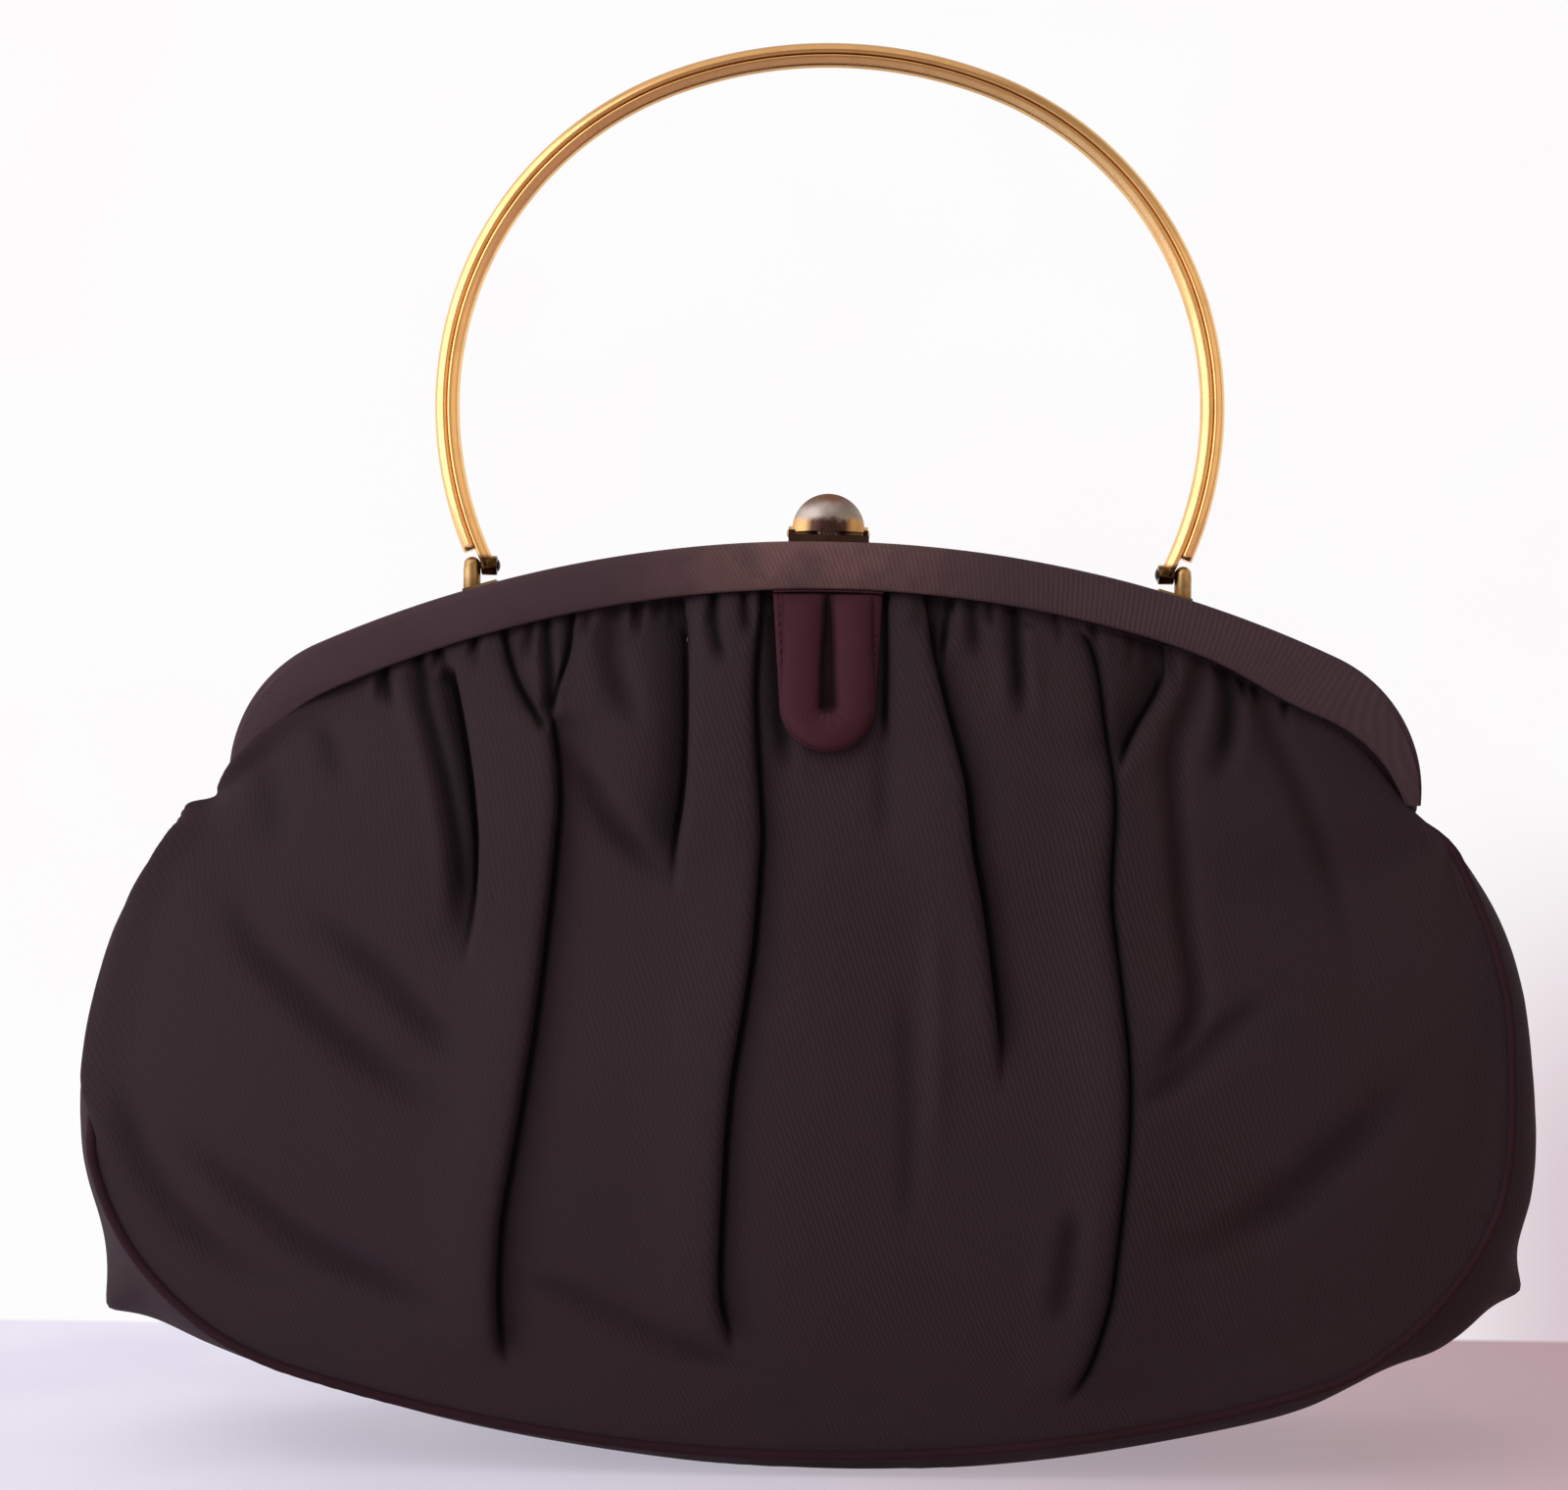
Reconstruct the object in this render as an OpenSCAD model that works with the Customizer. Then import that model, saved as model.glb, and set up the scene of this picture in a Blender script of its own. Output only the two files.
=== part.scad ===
// Framed evening bag: an arched snap frame, a gathered cloth body, a rigid
// arched handle and a thumb clasp. Millimetres, +Z up, front towards -Y,
// origin on the ground under the middle of the bag.

/* [Frame] */
// Width of the frame over its covering
frame_w = 228; // [220:1:236]
// Height of the frame's crown above the ground
frame_top_z = 173.2; // [170:0.1:178]
// Radius of the arched top
frame_arch_r = 238; // [225:1:260]
// Radius of the rounded shoulders
frame_corner_r = 28; // [24:1:32]
// Depth of the two halves together
frame_depth = 12.8; // [12:0.1:15]
// Height of the covered band at the crown
band_h = 9.2; // [8.5:0.1:10.5]
// Width of the covered band at its two ends
band_end_w = 1.4; // [1.2:0.1:1.8]
// Radius of the band's lower edge at the shoulders
band_corner_r = 30; // [26:1:33]
// Thickness of the frame's metal
metal_t = 0.9; // [0.7:0.05:1]
// Thickness of the cloth that wraps the metal
cover_t = 0.4; // [0.3:0.05:0.5]
// Height of the flange that faces the other half
inner_flange_h = 6.5; // [5:0.1:7]
// Gap between the closed halves
parting = 0.3; // [0.2:0.05:0.5]

/* [Frame hinges] */
// How far the hinge axis lies below the centres of the shoulder arcs
hinge_drop = 2.78; // [1:0.01:4]
// Radius of the hinge ears
ear_r = 3; // [2.6:0.1:3.2]
// Thickness of each ear
ear_t = 0.8; // [0.6:0.05:0.9]
// Radius of the hinge rivet's shank
hinge_pin_r = 1.1; // [0.9:0.05:1.3]
// Radius of the rivet's heads
hinge_head_r = 2; // [1.8:0.05:2.3]
// Height of the rivet's heads
hinge_head_h = 0.8; // [0.6:0.05:1]

/* [Handle] */
// Height of the handle's crown above the frame's crown
handle_rise = 97.4; // [92:0.2:102]
// Outer radius of the handle's crown
handle_crown_r = 90; // [86:0.5:94]
// Half of the handle's greatest outer width
handle_half_w = 76.7; // [75:0.1:77.5]
// Height of the handle's widest place above its pivots
wide_rise = 31.8; // [29:0.2:35]
// Outer radius of the handle's legs, below its widest place
leg_r = 75; // [71:0.5:80]
// Width of the handle's band, seen from the front
handle_band_w = 4.7; // [4.3:0.1:5.1]
// Depth of the handle's band, front to back
handle_depth = 4; // [3.4:0.1:4.2]
// Height of the pivots above the frame's arch where the handle is widest
pivot_rise = 7.7; // [7.5:0.02:8.4]
// Distance of the handle behind the parting of the frame
handle_y = 3.3; // [3.1:0.05:3.5]
// Height above the pivots at which the outer rail of the handle is cut off
rail_end_rise = 2.8; // [2.5:0.1:4.3]
// Radius of the posts that carry the handle
post_r = 1.65; // [1.4:0.05:1.75]
// Radius of the pivot rivets
pivot_r = 0.7; // [0.55:0.05:0.8]

/* [Clasp] */
// Radius of the clasp's domed thumb piece
dome_r = 7; // [6:0.1:8]
// Height of the dome over its rim
dome_h = 3.4; // [2.8:0.1:3.8]
// Height of the dome's middle above the frame
dome_lift = 2.6; // [2.4:0.1:3.4]
// Radius of the clasp's hinge pin
clasp_pin_r = 0.6; // [0.5:0.05:0.65]
// Half of the width of the clasp's plates
clasp_half_w = 7.7; // [7.2:0.1:8.5]
// Radius of the wire of the clasp's spring
spring_wire_r = 0.2; // [0.15:0.01:0.22]

/* [Cloth body] */
// How far the seams bulge out past the frame's sides
seam_over = 17; // [14:0.5:20]
// Height of the seams above the ground at the middle
seam_low_z = 4; // [3.6:0.1:5]
// Radius of the seams' long bottom curve
low_r = 330; // [320:1:350]
// Radius of the seams' lower corners
seam_corner_r = 50; // [46:1:54]
// Radius of the seams' upper sides
seam_side_r = 104; // [98:1:110]
// How far under the hinge axis the seams and the gusset end
seam_drop = 7; // [6.6:0.1:8]
// How far the gusset swells out past the seams
gusset_swell = 7; // [5:0.5:9]
// How far the gusset's bottom would sag below the ground if nothing held it
gusset_sag = 2.5; // [2.2:0.1:3]
// Radius of the gusset's lower corners
gusset_corner_r = 34; // [32:1:38]
// Radius of the gusset's upper sides
gusset_side_r = 90.5; // [86:0.5:95]
// Length of the gusset's upright stretch between corner and side
gusset_straight = 11; // [9:0.5:13]
// Half of the body's depth at the seams, at the bottom
base_d = 27; // [25:0.5:30]
// Half of the body's depth at the seams, under the hinges
seam_top_d = 9; // [8.6:0.1:10]
// Half of the body's depth at the middle of the panel joint
split_d = 28; // [27:0.5:30]
// Height of the panel joint at the middle of the bag
split_mid_z = 100; // [96:1:104]
// How far the panels puff out between seam and panel joint
panel_puff = 6.5; // [5:0.5:8]
// Thickness of the panels: cloth with its interlining
wall = 1.6; // [1.3:0.05:1.7]
// Depth of the gathers pressed into the front panel
pleat_depth = 3; // [2:0.25:3.5]
// Half of the width of one gather
pleat_half_w = 5; // [4:0.25:7]
// Radius of the piping
piping_r = 1.3; // [1:0.05:1.4]
// Thickness of the lining
lining_t = 0.6; // [0.5:0.05:0.7]
// Half of the length of the stiffener in the bottom
board_half_l = 70; // [60:1:74]
// Half of the width of the stiffener
board_half_w = 16; // [12:0.5:17]
// Thickness of the stiffener
board_t = 1.6; // [1.2:0.1:1.7]
// Width of the inner pocket
pocket_w = 110; // [90:1:130]
// Height of the inner pocket's mouth above the ground
pocket_top_z = 92; // [85:1:96]
// Height of the inner pocket's foot above the ground
pocket_low_z = 34; // [28:1:45]

/* [Pull tab] */
// Half of the width of the pull tab's backing
tab_half_w = 10.5; // [10:0.1:11.5]
// Height of the tab's lowest point above the ground
tab_low_z = 132.8; // [131:0.1:135]
// Half of the width of the tab's padded roll
roll_half_w = 3.8; // [3.4:0.1:4]
// Half of the depth of the padded roll
roll_half_d = 2.3; // [1.8:0.1:2.6]
// Half of the width of the slit between the roll's legs
slit_half_w = 1.1; // [0.9:0.1:1.3]
// Thickness of the tab's backing
backing_t = 0.6; // [0.4:0.05:0.7]

/* [Hidden] */

// Overrun of every cut
cut = 1;
// Facets round exact circles
round_fn = 96;
arch_fn = 4 * round_fn;
// Gap of parts that turn beside each other
side_gap = 0.2;
// Radial clearance of a shank in its bore
bore_gap = 0.05;
// Gap of soft parts to their neighbours
soft_gap = 0.4;

// Heights and places of the frame that follow from its sizes
arch_z = frame_top_z - frame_arch_r;
hinge_z = shoulder_z(frame_arch_r, frame_w / 2, frame_corner_r) - hinge_drop;
half_depth = frame_depth / 2;
half_parting = parting / 2;
metal_front = half_depth - cover_t;
band_end_z = hinge_z + side_gap;
arch_low_z = hinge_z - frame_corner_r;
ear_gap = 0.3;
ear_out_x = frame_w / 2 - cover_t - metal_t;
ear_in_x = ear_out_x - side_gap - ear_t;
ear_rise = 6;
rivet_out_x = ear_out_x + max(ear_t, metal_t);

// Places of the cloth that follow from the frame
seam_half_w = frame_w / 2 + seam_over;
gusset_half_w = seam_half_w + gusset_swell;
seam_top_z = hinge_z - seam_drop;

// Where the hems sit in the channel, as depths behind the parting
hem_gap = 0.1;
tab_hem_d = metal_front - metal_t - hem_gap;
panel_hem_d = tab_hem_d - backing_t - hem_gap;
cord_hem_d = panel_hem_d - wall - hem_gap;
cord_t = 0.65;
lining_hem_d = cord_hem_d - cord_t - hem_gap;
hem_rise = 2.2;
cord_end_rise = 12;

// Folds of the panels: place at the top and at the bottom as shares of half
// the frame's width, and how far down each reaches as a share of the height
front_fold_shares = [
    [-0.66, -0.62, 0.60], [-0.50, -0.55, 0.05], [-0.36, -0.33, 0.72], [-0.14, -0.20, 0.05],
    [0.18, 0.28, 0.25], [0.46, 0.46, 0.05], [0.62, 0.66, 0.55], [0.75, 0.80, 0.70]];
back_fold_shares = [
    [-0.70, -0.68, 0.60], [-0.45, -0.48, 0.05], [-0.20, -0.22, 0.40], [0.04, 0.05, 0.05],
    [0.28, 0.30, 0.60], [0.52, 0.56, 0.05], [0.74, 0.74, 0.65]];
fold_fade_share = 0.15;
fold_power = 2;
seam_power = 8;

// Gap between the lower panel and the gathered top
joint_gap = 0.3;

// Columns and rows of the sewn sheets, and how near a sheet comes to the hinges
panel_columns = 54;
back_columns = 36;
lining_columns = 26;
gusset_columns = 54;
panel_end_share = 0.985;
gather_end_share = 0.92;

// The sheets bulge with these powers
side_power = 2;
gather_power = 1.9;
gusset_power = 4;
depth_power = 2;

// Pivots of the handle and its two side arcs
handle_top_z = frame_top_z + handle_rise;
pivot_z = arch_top(0, handle_half_w) + pivot_rise;
handle_wide_z = pivot_z + wide_rise;
rail_end_z = pivot_z + rail_end_rise;
side_r = (pow(handle_wide_z - handle_top_z + handle_crown_r, 2) + pow(handle_half_w, 2)
    - pow(handle_crown_r, 2)) / (2 * (handle_half_w - handle_crown_r));
crown_z = handle_top_z - handle_crown_r;
side_x = handle_half_w - side_r;
crown_lean = atan2(handle_wide_z - crown_z, side_x);
rail_weld = 0.1;
rail_r = (handle_band_w + rail_weld) / 4;
arc_lap = 0.5;
arc_step = 0.02;
leg_x = handle_half_w - leg_r;
inner_rail_r = leg_r - handle_band_w + rail_r;
outer_rail_r = leg_r - rail_r;
pivot_lean = asin((pivot_z - handle_wide_z) / inner_rail_r);
pivot_x = leg_x + inner_rail_r * cos(pivot_lean);
eye_r = handle_depth / 2;
eye_half_w = rail_r * 1.25;
post_x = pivot_x + eye_half_w + side_gap + post_r;
foot_t = 1;
foot_half_d = 2;
stem_r = 1;
stem_head_r = 1.5;
stem_head_h = 0.6;
post_stem_z = arch_top(cover_t + metal_t, post_x + stem_head_r);
stem_drop = 2;
pivot_head_r = 1.2;
pivot_head_h = 0.4;

// Places in the clasp
clasp_y = 2.9;
clasp_z = frame_top_z + 2;
clasp_plate_t = 0.6;
clasp_ear_t = 1.3;
clasp_ear_r = 1.4;
clasp_barrel_r = 1.1;
clasp_stem_r = 0.8;
clasp_stem_x = clasp_half_w * 0.58;
clasp_stem_y = clasp_y + clasp_ear_r;
catch_stem_d = half_depth / 2;
catch_t = 1.2;
catch_front = half_depth - 0.7;
clasp_back = half_depth - 0.5;
plate_gap = 0.5;
dome_back_y = 1.4;
dome_rim_t = 0.7;
dome_z = frame_top_z + dome_lift;
hook_half_w = 1.3;
hook_t = 0.7;
hook_reach = 4.4;
hook_gap = 0.5;
hook_low_z = frame_top_z + catch_t + hook_gap;
bump_w = 1.3;
bump_h = 0.9;
spring_r = clasp_pin_r + 0.35;
spring_turns = 4.25;
spring_half_w = 1.85;
spring_leg = 2.2;

// Places in the stiffener's seat, the pocket and the pull tab
board_seat = wall + 1.6;
pocket_slack = 2.5;
tab_drop = 1.3;
tab_hem_r = 0.45;
tab_axis_d = half_depth - backing_t;
stay_rise = 4.5;
stay_front = half_depth - 0.3;
roll_drop = 0.6;
roll_start_share = 0.5;

module slab(low_y, high_y) {
    translate([0, high_y, 0]) rotate([90, 0, 0]) linear_extrude(high_y - low_y) children();
}

// Height of the centre of a shoulder arc that runs into an arch of radius r
function shoulder_z(r, w, c) = arch_z + sqrt(pow(r - c, 2) - pow(w - c, 2));

module arch_area(r, w, c) {
    z = shoulder_z(r, w, c);
    lean = atan2(w - c, z - arch_z);
    far = 2 * r;
    intersection() {
        translate([0, arch_z]) circle(r, $fn = arch_fn);
        polygon([[0, arch_z], [far * sin(lean), arch_z + far * cos(lean)],
                 [-far * sin(lean), arch_z + far * cos(lean)]]);
    }
    for (side = [-1, 1]) translate([side * (w - c), z]) circle(c, $fn = arch_fn);
    translate([-w, arch_low_z]) square([2 * w, z - arch_low_z]);
}
module frame_area(inset) {
    arch_area(frame_arch_r - inset, frame_w / 2 - inset, frame_corner_r - inset);
}
module under_band(grow) {
    arch_area(frame_arch_r - band_h + grow, frame_w / 2 - band_end_w + grow, band_corner_r + grow);
}
module above(z) {
    intersection() {
        children();
        translate([-frame_w, z]) square([2 * frame_w, frame_top_z]);
    }
}
module ring(outer, inner) {
    above(band_end_z) difference() { frame_area(outer); frame_area(inner); }
}

// Along the lower edge of the band: a point for a share of its half length
function band_line(grow, share) =
    let (r = frame_arch_r - band_h + grow, w = frame_w / 2 - band_end_w + grow,
         c = band_corner_r + grow, z = shoulder_z(r, w, c), lean = atan2(w - c, z - arch_z),
         low = asin((band_end_z - z) / c), first = r * lean, second = c * (90 - lean - low),
         way = abs(share) * (first + second), side = share < 0 ? -1 : 1,
         a = way < first ? way / r : lean + (way - first) / c)
    way < first ? [side * r * sin(a), arch_z + r * cos(a)]
                : [side * (w - c + c * sin(a)), z + c * cos(a)];

// Along a seam: a long bottom curve, a corner, an upright stretch and a side
function sewn_line(inset, share, half_w, low_z, corner_r, arc_r, straight) =
    let (w = half_w - inset, z0 = low_z + inset, r0 = low_r - inset, r1 = corner_r - inset,
         r2 = arc_r - inset, z1 = z0 + r0 - sqrt(pow(r0 - r1, 2) - pow(w - r1, 2)),
         z2 = z1 + straight, lean = asin((w - r1) / (r0 - r1)), turn = 180 / PI,
         top = asin((seam_top_z - z2) / r2),
         e0 = r0 * lean / turn, e1 = e0 + r1 * (90 - lean) / turn, e2 = e1 + straight,
         e3 = e2 + r2 * top / turn, way = abs(share) * e3, side = share < 0 ? -1 : 1)
    way < e0 ? let (a = way / r0 * turn) [side * r0 * sin(a), z0 + r0 - r0 * cos(a)]
    : way < e1 ? let (a = lean + (way - e0) / r1 * turn)
        [side * (w - r1 + r1 * sin(a)), z1 - r1 * cos(a)]
    : way < e2 ? [side * w, z1 + way - e1]
    : let (a = (way - e2) / r2 * turn) [side * (w - r2 + r2 * cos(a)), z2 + r2 * sin(a)];
function seam(inset, share) =
    sewn_line(inset, share, seam_half_w, seam_low_z, seam_corner_r, seam_side_r, 0);
function gusset_middle(inset, share) =
    sewn_line(inset, share, gusset_half_w, -gusset_sag, gusset_corner_r, gusset_side_r,
        gusset_straight);

// Half of the body's depth along the seams, at a height
function seam_depth(z) = seam_top_d
    + (base_d - seam_top_d) * (1 - pow(max(0, min(1, z / seam_top_z)), depth_power));

// The joint between the lower panel and the gathered top
function joint_point(share) = [share * seam(0, 1).x,
    split_mid_z + (seam_top_z - split_mid_z) * pow(share, 2)];
function joint_depth(share) = seam_top_d
    + (split_d - seam_top_d) * (1 - pow(abs(share), side_power));

// Depth of the folds at a place on a panel
function fold_depth(x, z, shares) =
    let (height = z / (frame_top_z - band_h),
         dents = [for (f = shares)
             let (middle = frame_w / 2 * (f[1] + (f[0] - f[1]) * height),
                  fade = max(0, min(1, (height - f[2]) / fold_fade_share)))
             fade * exp(-pow((x - middle) / pleat_half_w, 2))])
    pleat_depth * min(1, dents * [for (f = shares) 1]);

// A point of the lower panel: u across from -1 to 1, v up from seam to joint.
// The result is [x, depth, z]; back_off moves it towards the inside.
function panel_point(u, v, inset, back_off, shares) =
    let (low = seam(inset, u * panel_end_share), high = joint_point(u * gather_end_share),
         x = low.x + (high.x - low.x) * v, z = low.y + (high.y - low.y) * v,
         puff = panel_puff * sin(180 * v) * (1 - pow(u, side_power)),
         depth = seam_depth(seam(0, u * panel_end_share).y) * (1 - v)
             + joint_depth(u * gather_end_share) * v + puff,
         fold = len(shares) > 0 ? fold_depth(x, z, shares) * (1 - pow(1 - v, seam_power)) : 0)
    [x, depth - fold - back_off, z];

// A point of the gathered top: v up from the joint to the band, hem at the band
function gather_point(u, v, hem, back_off, shares) =
    let (share = u * gather_end_share, low = joint_point(share) + [0, joint_gap],
         high = band_line(-soft_gap, share), x = low.x + (high.x - low.x) * v, z = low.y + (high.y - low.y) * v,
         fold = len(shares) > 0 ? fold_depth(x, z, shares) * (1 - pow(v, fold_power)) : 0)
    [x, hem + (joint_depth(share) - back_off - hem) * (1 - pow(v, gather_power)) - fold, z];
function hem_point(u, hem) =
    let (top = band_line(hem_rise, u * gather_end_share)) [top.x, hem, top.y];

// Rows of points of the sheets, before they get their thickness
function panel_rows(columns, rows, inset, back_off, shares) =
    [for (i = [0:rows]) [for (j = [0:columns])
        panel_point(2 * j / columns - 1, i / rows, inset, back_off, shares)]];
function gather_rows(columns, rows, first, hem, back_off, shares) = [
    for (i = [first:rows]) [for (j = [0:columns])
        gather_point(2 * j / columns - 1, i / rows, hem, back_off, shares)],
    [for (j = [0:columns]) hem_point(2 * j / columns - 1, hem)]];
function gusset_rows(columns, rows, inset, seam_gap) =
    [for (i = [0:rows]) [for (j = [0:columns])
        let (share = 2 * j / columns - 1, v = 2 * i / rows - 1, a = seam(inset, share),
             b = gusset_middle(inset, share), k = 1 - pow(abs(v), gusset_power))
        [a.x + (b.x - a.x) * k, v * (seam_depth(seam(0, share).y) - seam_gap),
         max(inset, a.y + (b.y - a.y) * k)]]];

// A closed sheet between two grids of points. Seen from outside the first
// grid's columns run to the right and its rows run up.
module sheet(outer, inner) {
    rows = len(outer);
    columns = len(outer[0]);
    n = rows * columns;
    points = [for (row = outer) each row, for (row = inner) each row];
    function at(r, c) = r * columns + c;
    faces = [
        for (r = [0:rows - 2], c = [0:columns - 2])
            let (a = at(r, c), b = at(r, c + 1), d = at(r + 1, c), e = at(r + 1, c + 1))
            each [[a, e, b], [a, d, e], [n + a, n + b, n + e], [n + a, n + e, n + d]],
        for (c = [0:columns - 2])
            let (a = at(0, c), b = at(0, c + 1), d = at(rows - 1, c), e = at(rows - 1, c + 1))
            each [[a, b, n + b], [a, n + b, n + a], [e, d, n + d], [e, n + d, n + e]],
        for (r = [0:rows - 2])
            let (a = at(r, 0), d = at(r + 1, 0), b = at(r, columns - 1), e = at(r + 1, columns - 1))
            each [[d, a, n + a], [d, n + a, n + d], [b, e, n + e], [b, n + e, n + b]]];
    polyhedron(points, faces);
}
// A sheet given as [x, depth, z], drawn as a front piece of the given thickness
module front_sheet(rows, thickness) {
    sheet([for (row = rows) [for (p = row) [p.x, -p.y, p.z]]],
          [for (row = rows) [for (p = row) [p.x, thickness - p.y, p.z]]]);
}
// A closed tube through rings of points, each turning right-handed about the path
module tube(rings) {
    sides = len(rings[0]);
    last = (len(rings) - 1) * sides;
    faces = [
        [for (j = [0:sides - 1]) j],
        [for (j = [sides - 1:-1:0]) last + j],
        for (i = [0:len(rings) - 2], j = [0:sides - 1])
            let (a = i * sides + j, b = i * sides + (j + 1) % sides, d = a + sides, e = b + sides)
            each [[a, d, e], [a, e, b]]];
    polyhedron([for (ring = rings) each ring], faces);
}
// A ring round a point of a path that runs in a plane of constant y
function flat_ring(middle, along, across_r, depth_r, sides) =
    let (long = norm(along), n = [along.z, 0, -along.x] / long)
    [for (k = [0:sides - 1]) middle + across_r * cos(360 * k / sides) * n
        + [0, depth_r * sin(360 * k / sides), 0]];

// The frame: one half, drawn as the front half
module both_sides() {
    children();
    mirror([1, 0, 0]) children();
}
module hinge_drill(r, low_x, high_x) {
    both_sides() translate([low_x, 0, hinge_z]) rotate([0, 90, 0])
        cylinder(r = r, h = high_x - low_x, $fn = round_fn);
}
module channel_walls() {
    middle = half_depth / 2;
    difference() {
        slab(-metal_front, -half_parting) above(band_end_z) frame_area(cover_t);
        slab(-metal_front + metal_t, -half_parting - metal_t) frame_area(cover_t + metal_t);
        slab(-half_depth, -middle) under_band(cover_t);
        slab(-middle, 0) frame_area(inner_flange_h);
        slab(-middle, 0) intersection() {
            frame_area(cover_t + metal_t);
            translate([-frame_w, 0]) square([2 * frame_w, hinge_z + ear_r + ear_gap]);
        }
    }
}
module cover_walls() {
    difference() {
        union() {
            slab(-half_depth, -metal_front)
                above(band_end_z) difference() { frame_area(0); under_band(0); }
            slab(-metal_front, -metal_front + metal_t)
                above(band_end_z) difference() { under_band(cover_t); under_band(0); }
            slab(-metal_front, -half_parting) ring(0, cover_t);
        }
        hinge_drill(hinge_head_r + ear_gap, ear_out_x, frame_w / 2 + cut);
    }
}
module binding_cord() {
    slab(-cord_hem_d, -cord_hem_d + cord_t) above(hinge_z + cord_end_rise)
        difference() { under_band(hem_rise); under_band(hem_rise - cord_t); }
}
function arch_top(inset, x) = arch_z + sqrt(pow(frame_arch_r - inset, 2) - pow(x, 2));
module stem(x, y, r, low_z, high_z) {
    translate([x, y, low_z]) cylinder(r = r, h = high_z - low_z, $fn = round_fn);
}
module clasp_stems(y, high_z) {
    both_sides() stem(clasp_stem_x, y, clasp_stem_r, frame_top_z - stem_drop, high_z);
}
module post_stem() {
    stem(post_x, handle_y, stem_r, post_stem_z, arch_top(0, post_x) + foot_t);
}

module front_frame_channel() {
    color([0.55, 0.5, 0.42]) difference() {
        union() {
            difference() {
                channel_walls();
                hinge_drill(ear_r + ear_gap, ear_out_x - side_gap / 2, frame_w / 2);
            }
            both_sides() {
                translate([ear_in_x, 0, hinge_z]) rotate([0, 90, 0])
                    cylinder(r = ear_r, h = ear_t, $fn = round_fn);
                translate([ear_in_x, -metal_front, hinge_z])
                    cube([ear_t, metal_front, ear_rise]);
            }
        }
        hinge_drill(hinge_pin_r + bore_gap, ear_in_x - cut, ear_in_x + ear_t + side_gap / 2);
        clasp_stems(-catch_stem_d, frame_top_z);
    }
}
module front_frame_cover() {
    color([0.3, 0.22, 0.24]) difference() {
        cover_walls();
        clasp_stems(-catch_stem_d, frame_top_z + cut);
    }
}
module front_binding_cord() {
    color([0.7, 0.6, 0.45]) binding_cord();
}
module back_frame_channel() {
    color([0.55, 0.5, 0.42]) difference() {
        union() {
            mirror([0, 1, 0]) channel_walls();
            both_sides() {
                translate([ear_out_x, 0, hinge_z]) rotate([0, 90, 0])
                    cylinder(r = ear_r, h = ear_t, $fn = round_fn);
                translate([ear_out_x, 0, hinge_z]) cube([ear_t, metal_front, ear_rise]);
            }
        }
        hinge_drill(hinge_pin_r, ear_out_x - cut, frame_w / 2);
        clasp_stems(clasp_stem_y, frame_top_z);
        both_sides() post_stem();
    }
}
module back_frame_cover() {
    color([0.3, 0.22, 0.24]) difference() {
        mirror([0, 1, 0]) cover_walls();
        clasp_stems(clasp_stem_y, frame_top_z + cut);
        both_sides() post_stem();
    }
}
module back_binding_cord() {
    color([0.7, 0.6, 0.45]) mirror([0, 1, 0]) binding_cord();
}
module hinge_rivet() {
    color([0.6, 0.48, 0.3]) {
        translate([ear_in_x - side_gap - hinge_head_h, 0, hinge_z]) rotate([0, 90, 0])
            cylinder(r = hinge_head_r, h = hinge_head_h, $fn = round_fn);
        translate([ear_in_x - side_gap, 0, hinge_z]) rotate([0, 90, 0])
            cylinder(r = hinge_pin_r, h = rivet_out_x - ear_in_x + side_gap, $fn = round_fn);
        translate([rivet_out_x, 0, hinge_z]) rotate([0, 90, 0])
            cap(hinge_head_r, hinge_head_h);
    }
}
module right_hinge_rivet() { hinge_rivet(); }
module left_hinge_rivet() { mirror([1, 0, 0]) hinge_rivet(); }

// A low dome on the ground, of radius r and height h over an upright rim
module cap(r, h, rim = 0) {
    ball_r = (r * r + h * h) / (2 * h);
    rotate_extrude($fn = round_fn) intersection() {
        translate([0, rim + h - ball_r]) circle(ball_r, $fn = round_fn);
        square([r, rim + h]);
    }
}

// The handle and what carries it: each arc has two rails side by side, and its
// ends lap into the next arc, which is thinner by a hair
module rails(arc_r, thinner) {
    for (from_rim = [rail_r, handle_band_w - rail_r]) rail(arc_r - from_rim, thinner);
}
module rail(r, thinner) {
    reach = handle_depth / 2 - rail_r;
    for (side = [-1, 1]) translate([r, side * reach]) circle(rail_r - thinner, $fn = round_fn / 2);
    translate([r - rail_r + thinner, -reach]) square([2 * (rail_r - thinner), 2 * reach]);
}
// Sweeps a section round an arc that stands upright, between two angles
module upright_arc(x, z, low, high) {
    translate([x, handle_y, z]) rotate([90, 0, 0]) rotate([0, 0, low])
        rotate_extrude(angle = high - low, $fn = 2 * round_fn) children();
}
module handle_band() {
    rail_lean = asin((rail_end_z - handle_wide_z) / outer_rail_r);
    lap = arc_lap / side_r * 180 / PI;
    color([0.8, 0.55, 0.2]) difference() {
        union() {
            upright_arc(0, crown_z, crown_lean, 180 - crown_lean) rails(handle_crown_r, 0);
            both_sides() {
                upright_arc(side_x, handle_wide_z, 0, crown_lean + lap)
                    rails(side_r, arc_step);
                upright_arc(leg_x, handle_wide_z, rail_lean, lap) rails(leg_r, 2 * arc_step);
                upright_arc(leg_x, handle_wide_z, pivot_lean, rail_lean + lap)
                    rail(inner_rail_r, 3 * arc_step);
                translate([pivot_x - eye_half_w, handle_y, pivot_z]) rotate([0, 90, 0])
                    cylinder(r = eye_r, h = 2 * eye_half_w, $fn = round_fn);
            }
        }
        both_sides() translate([pivot_x - eye_half_w - cut, handle_y, pivot_z])
            rotate([0, 90, 0])
            cylinder(r = pivot_r + bore_gap, h = 2 * (eye_half_w + cut), $fn = round_fn);
    }
}
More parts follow.
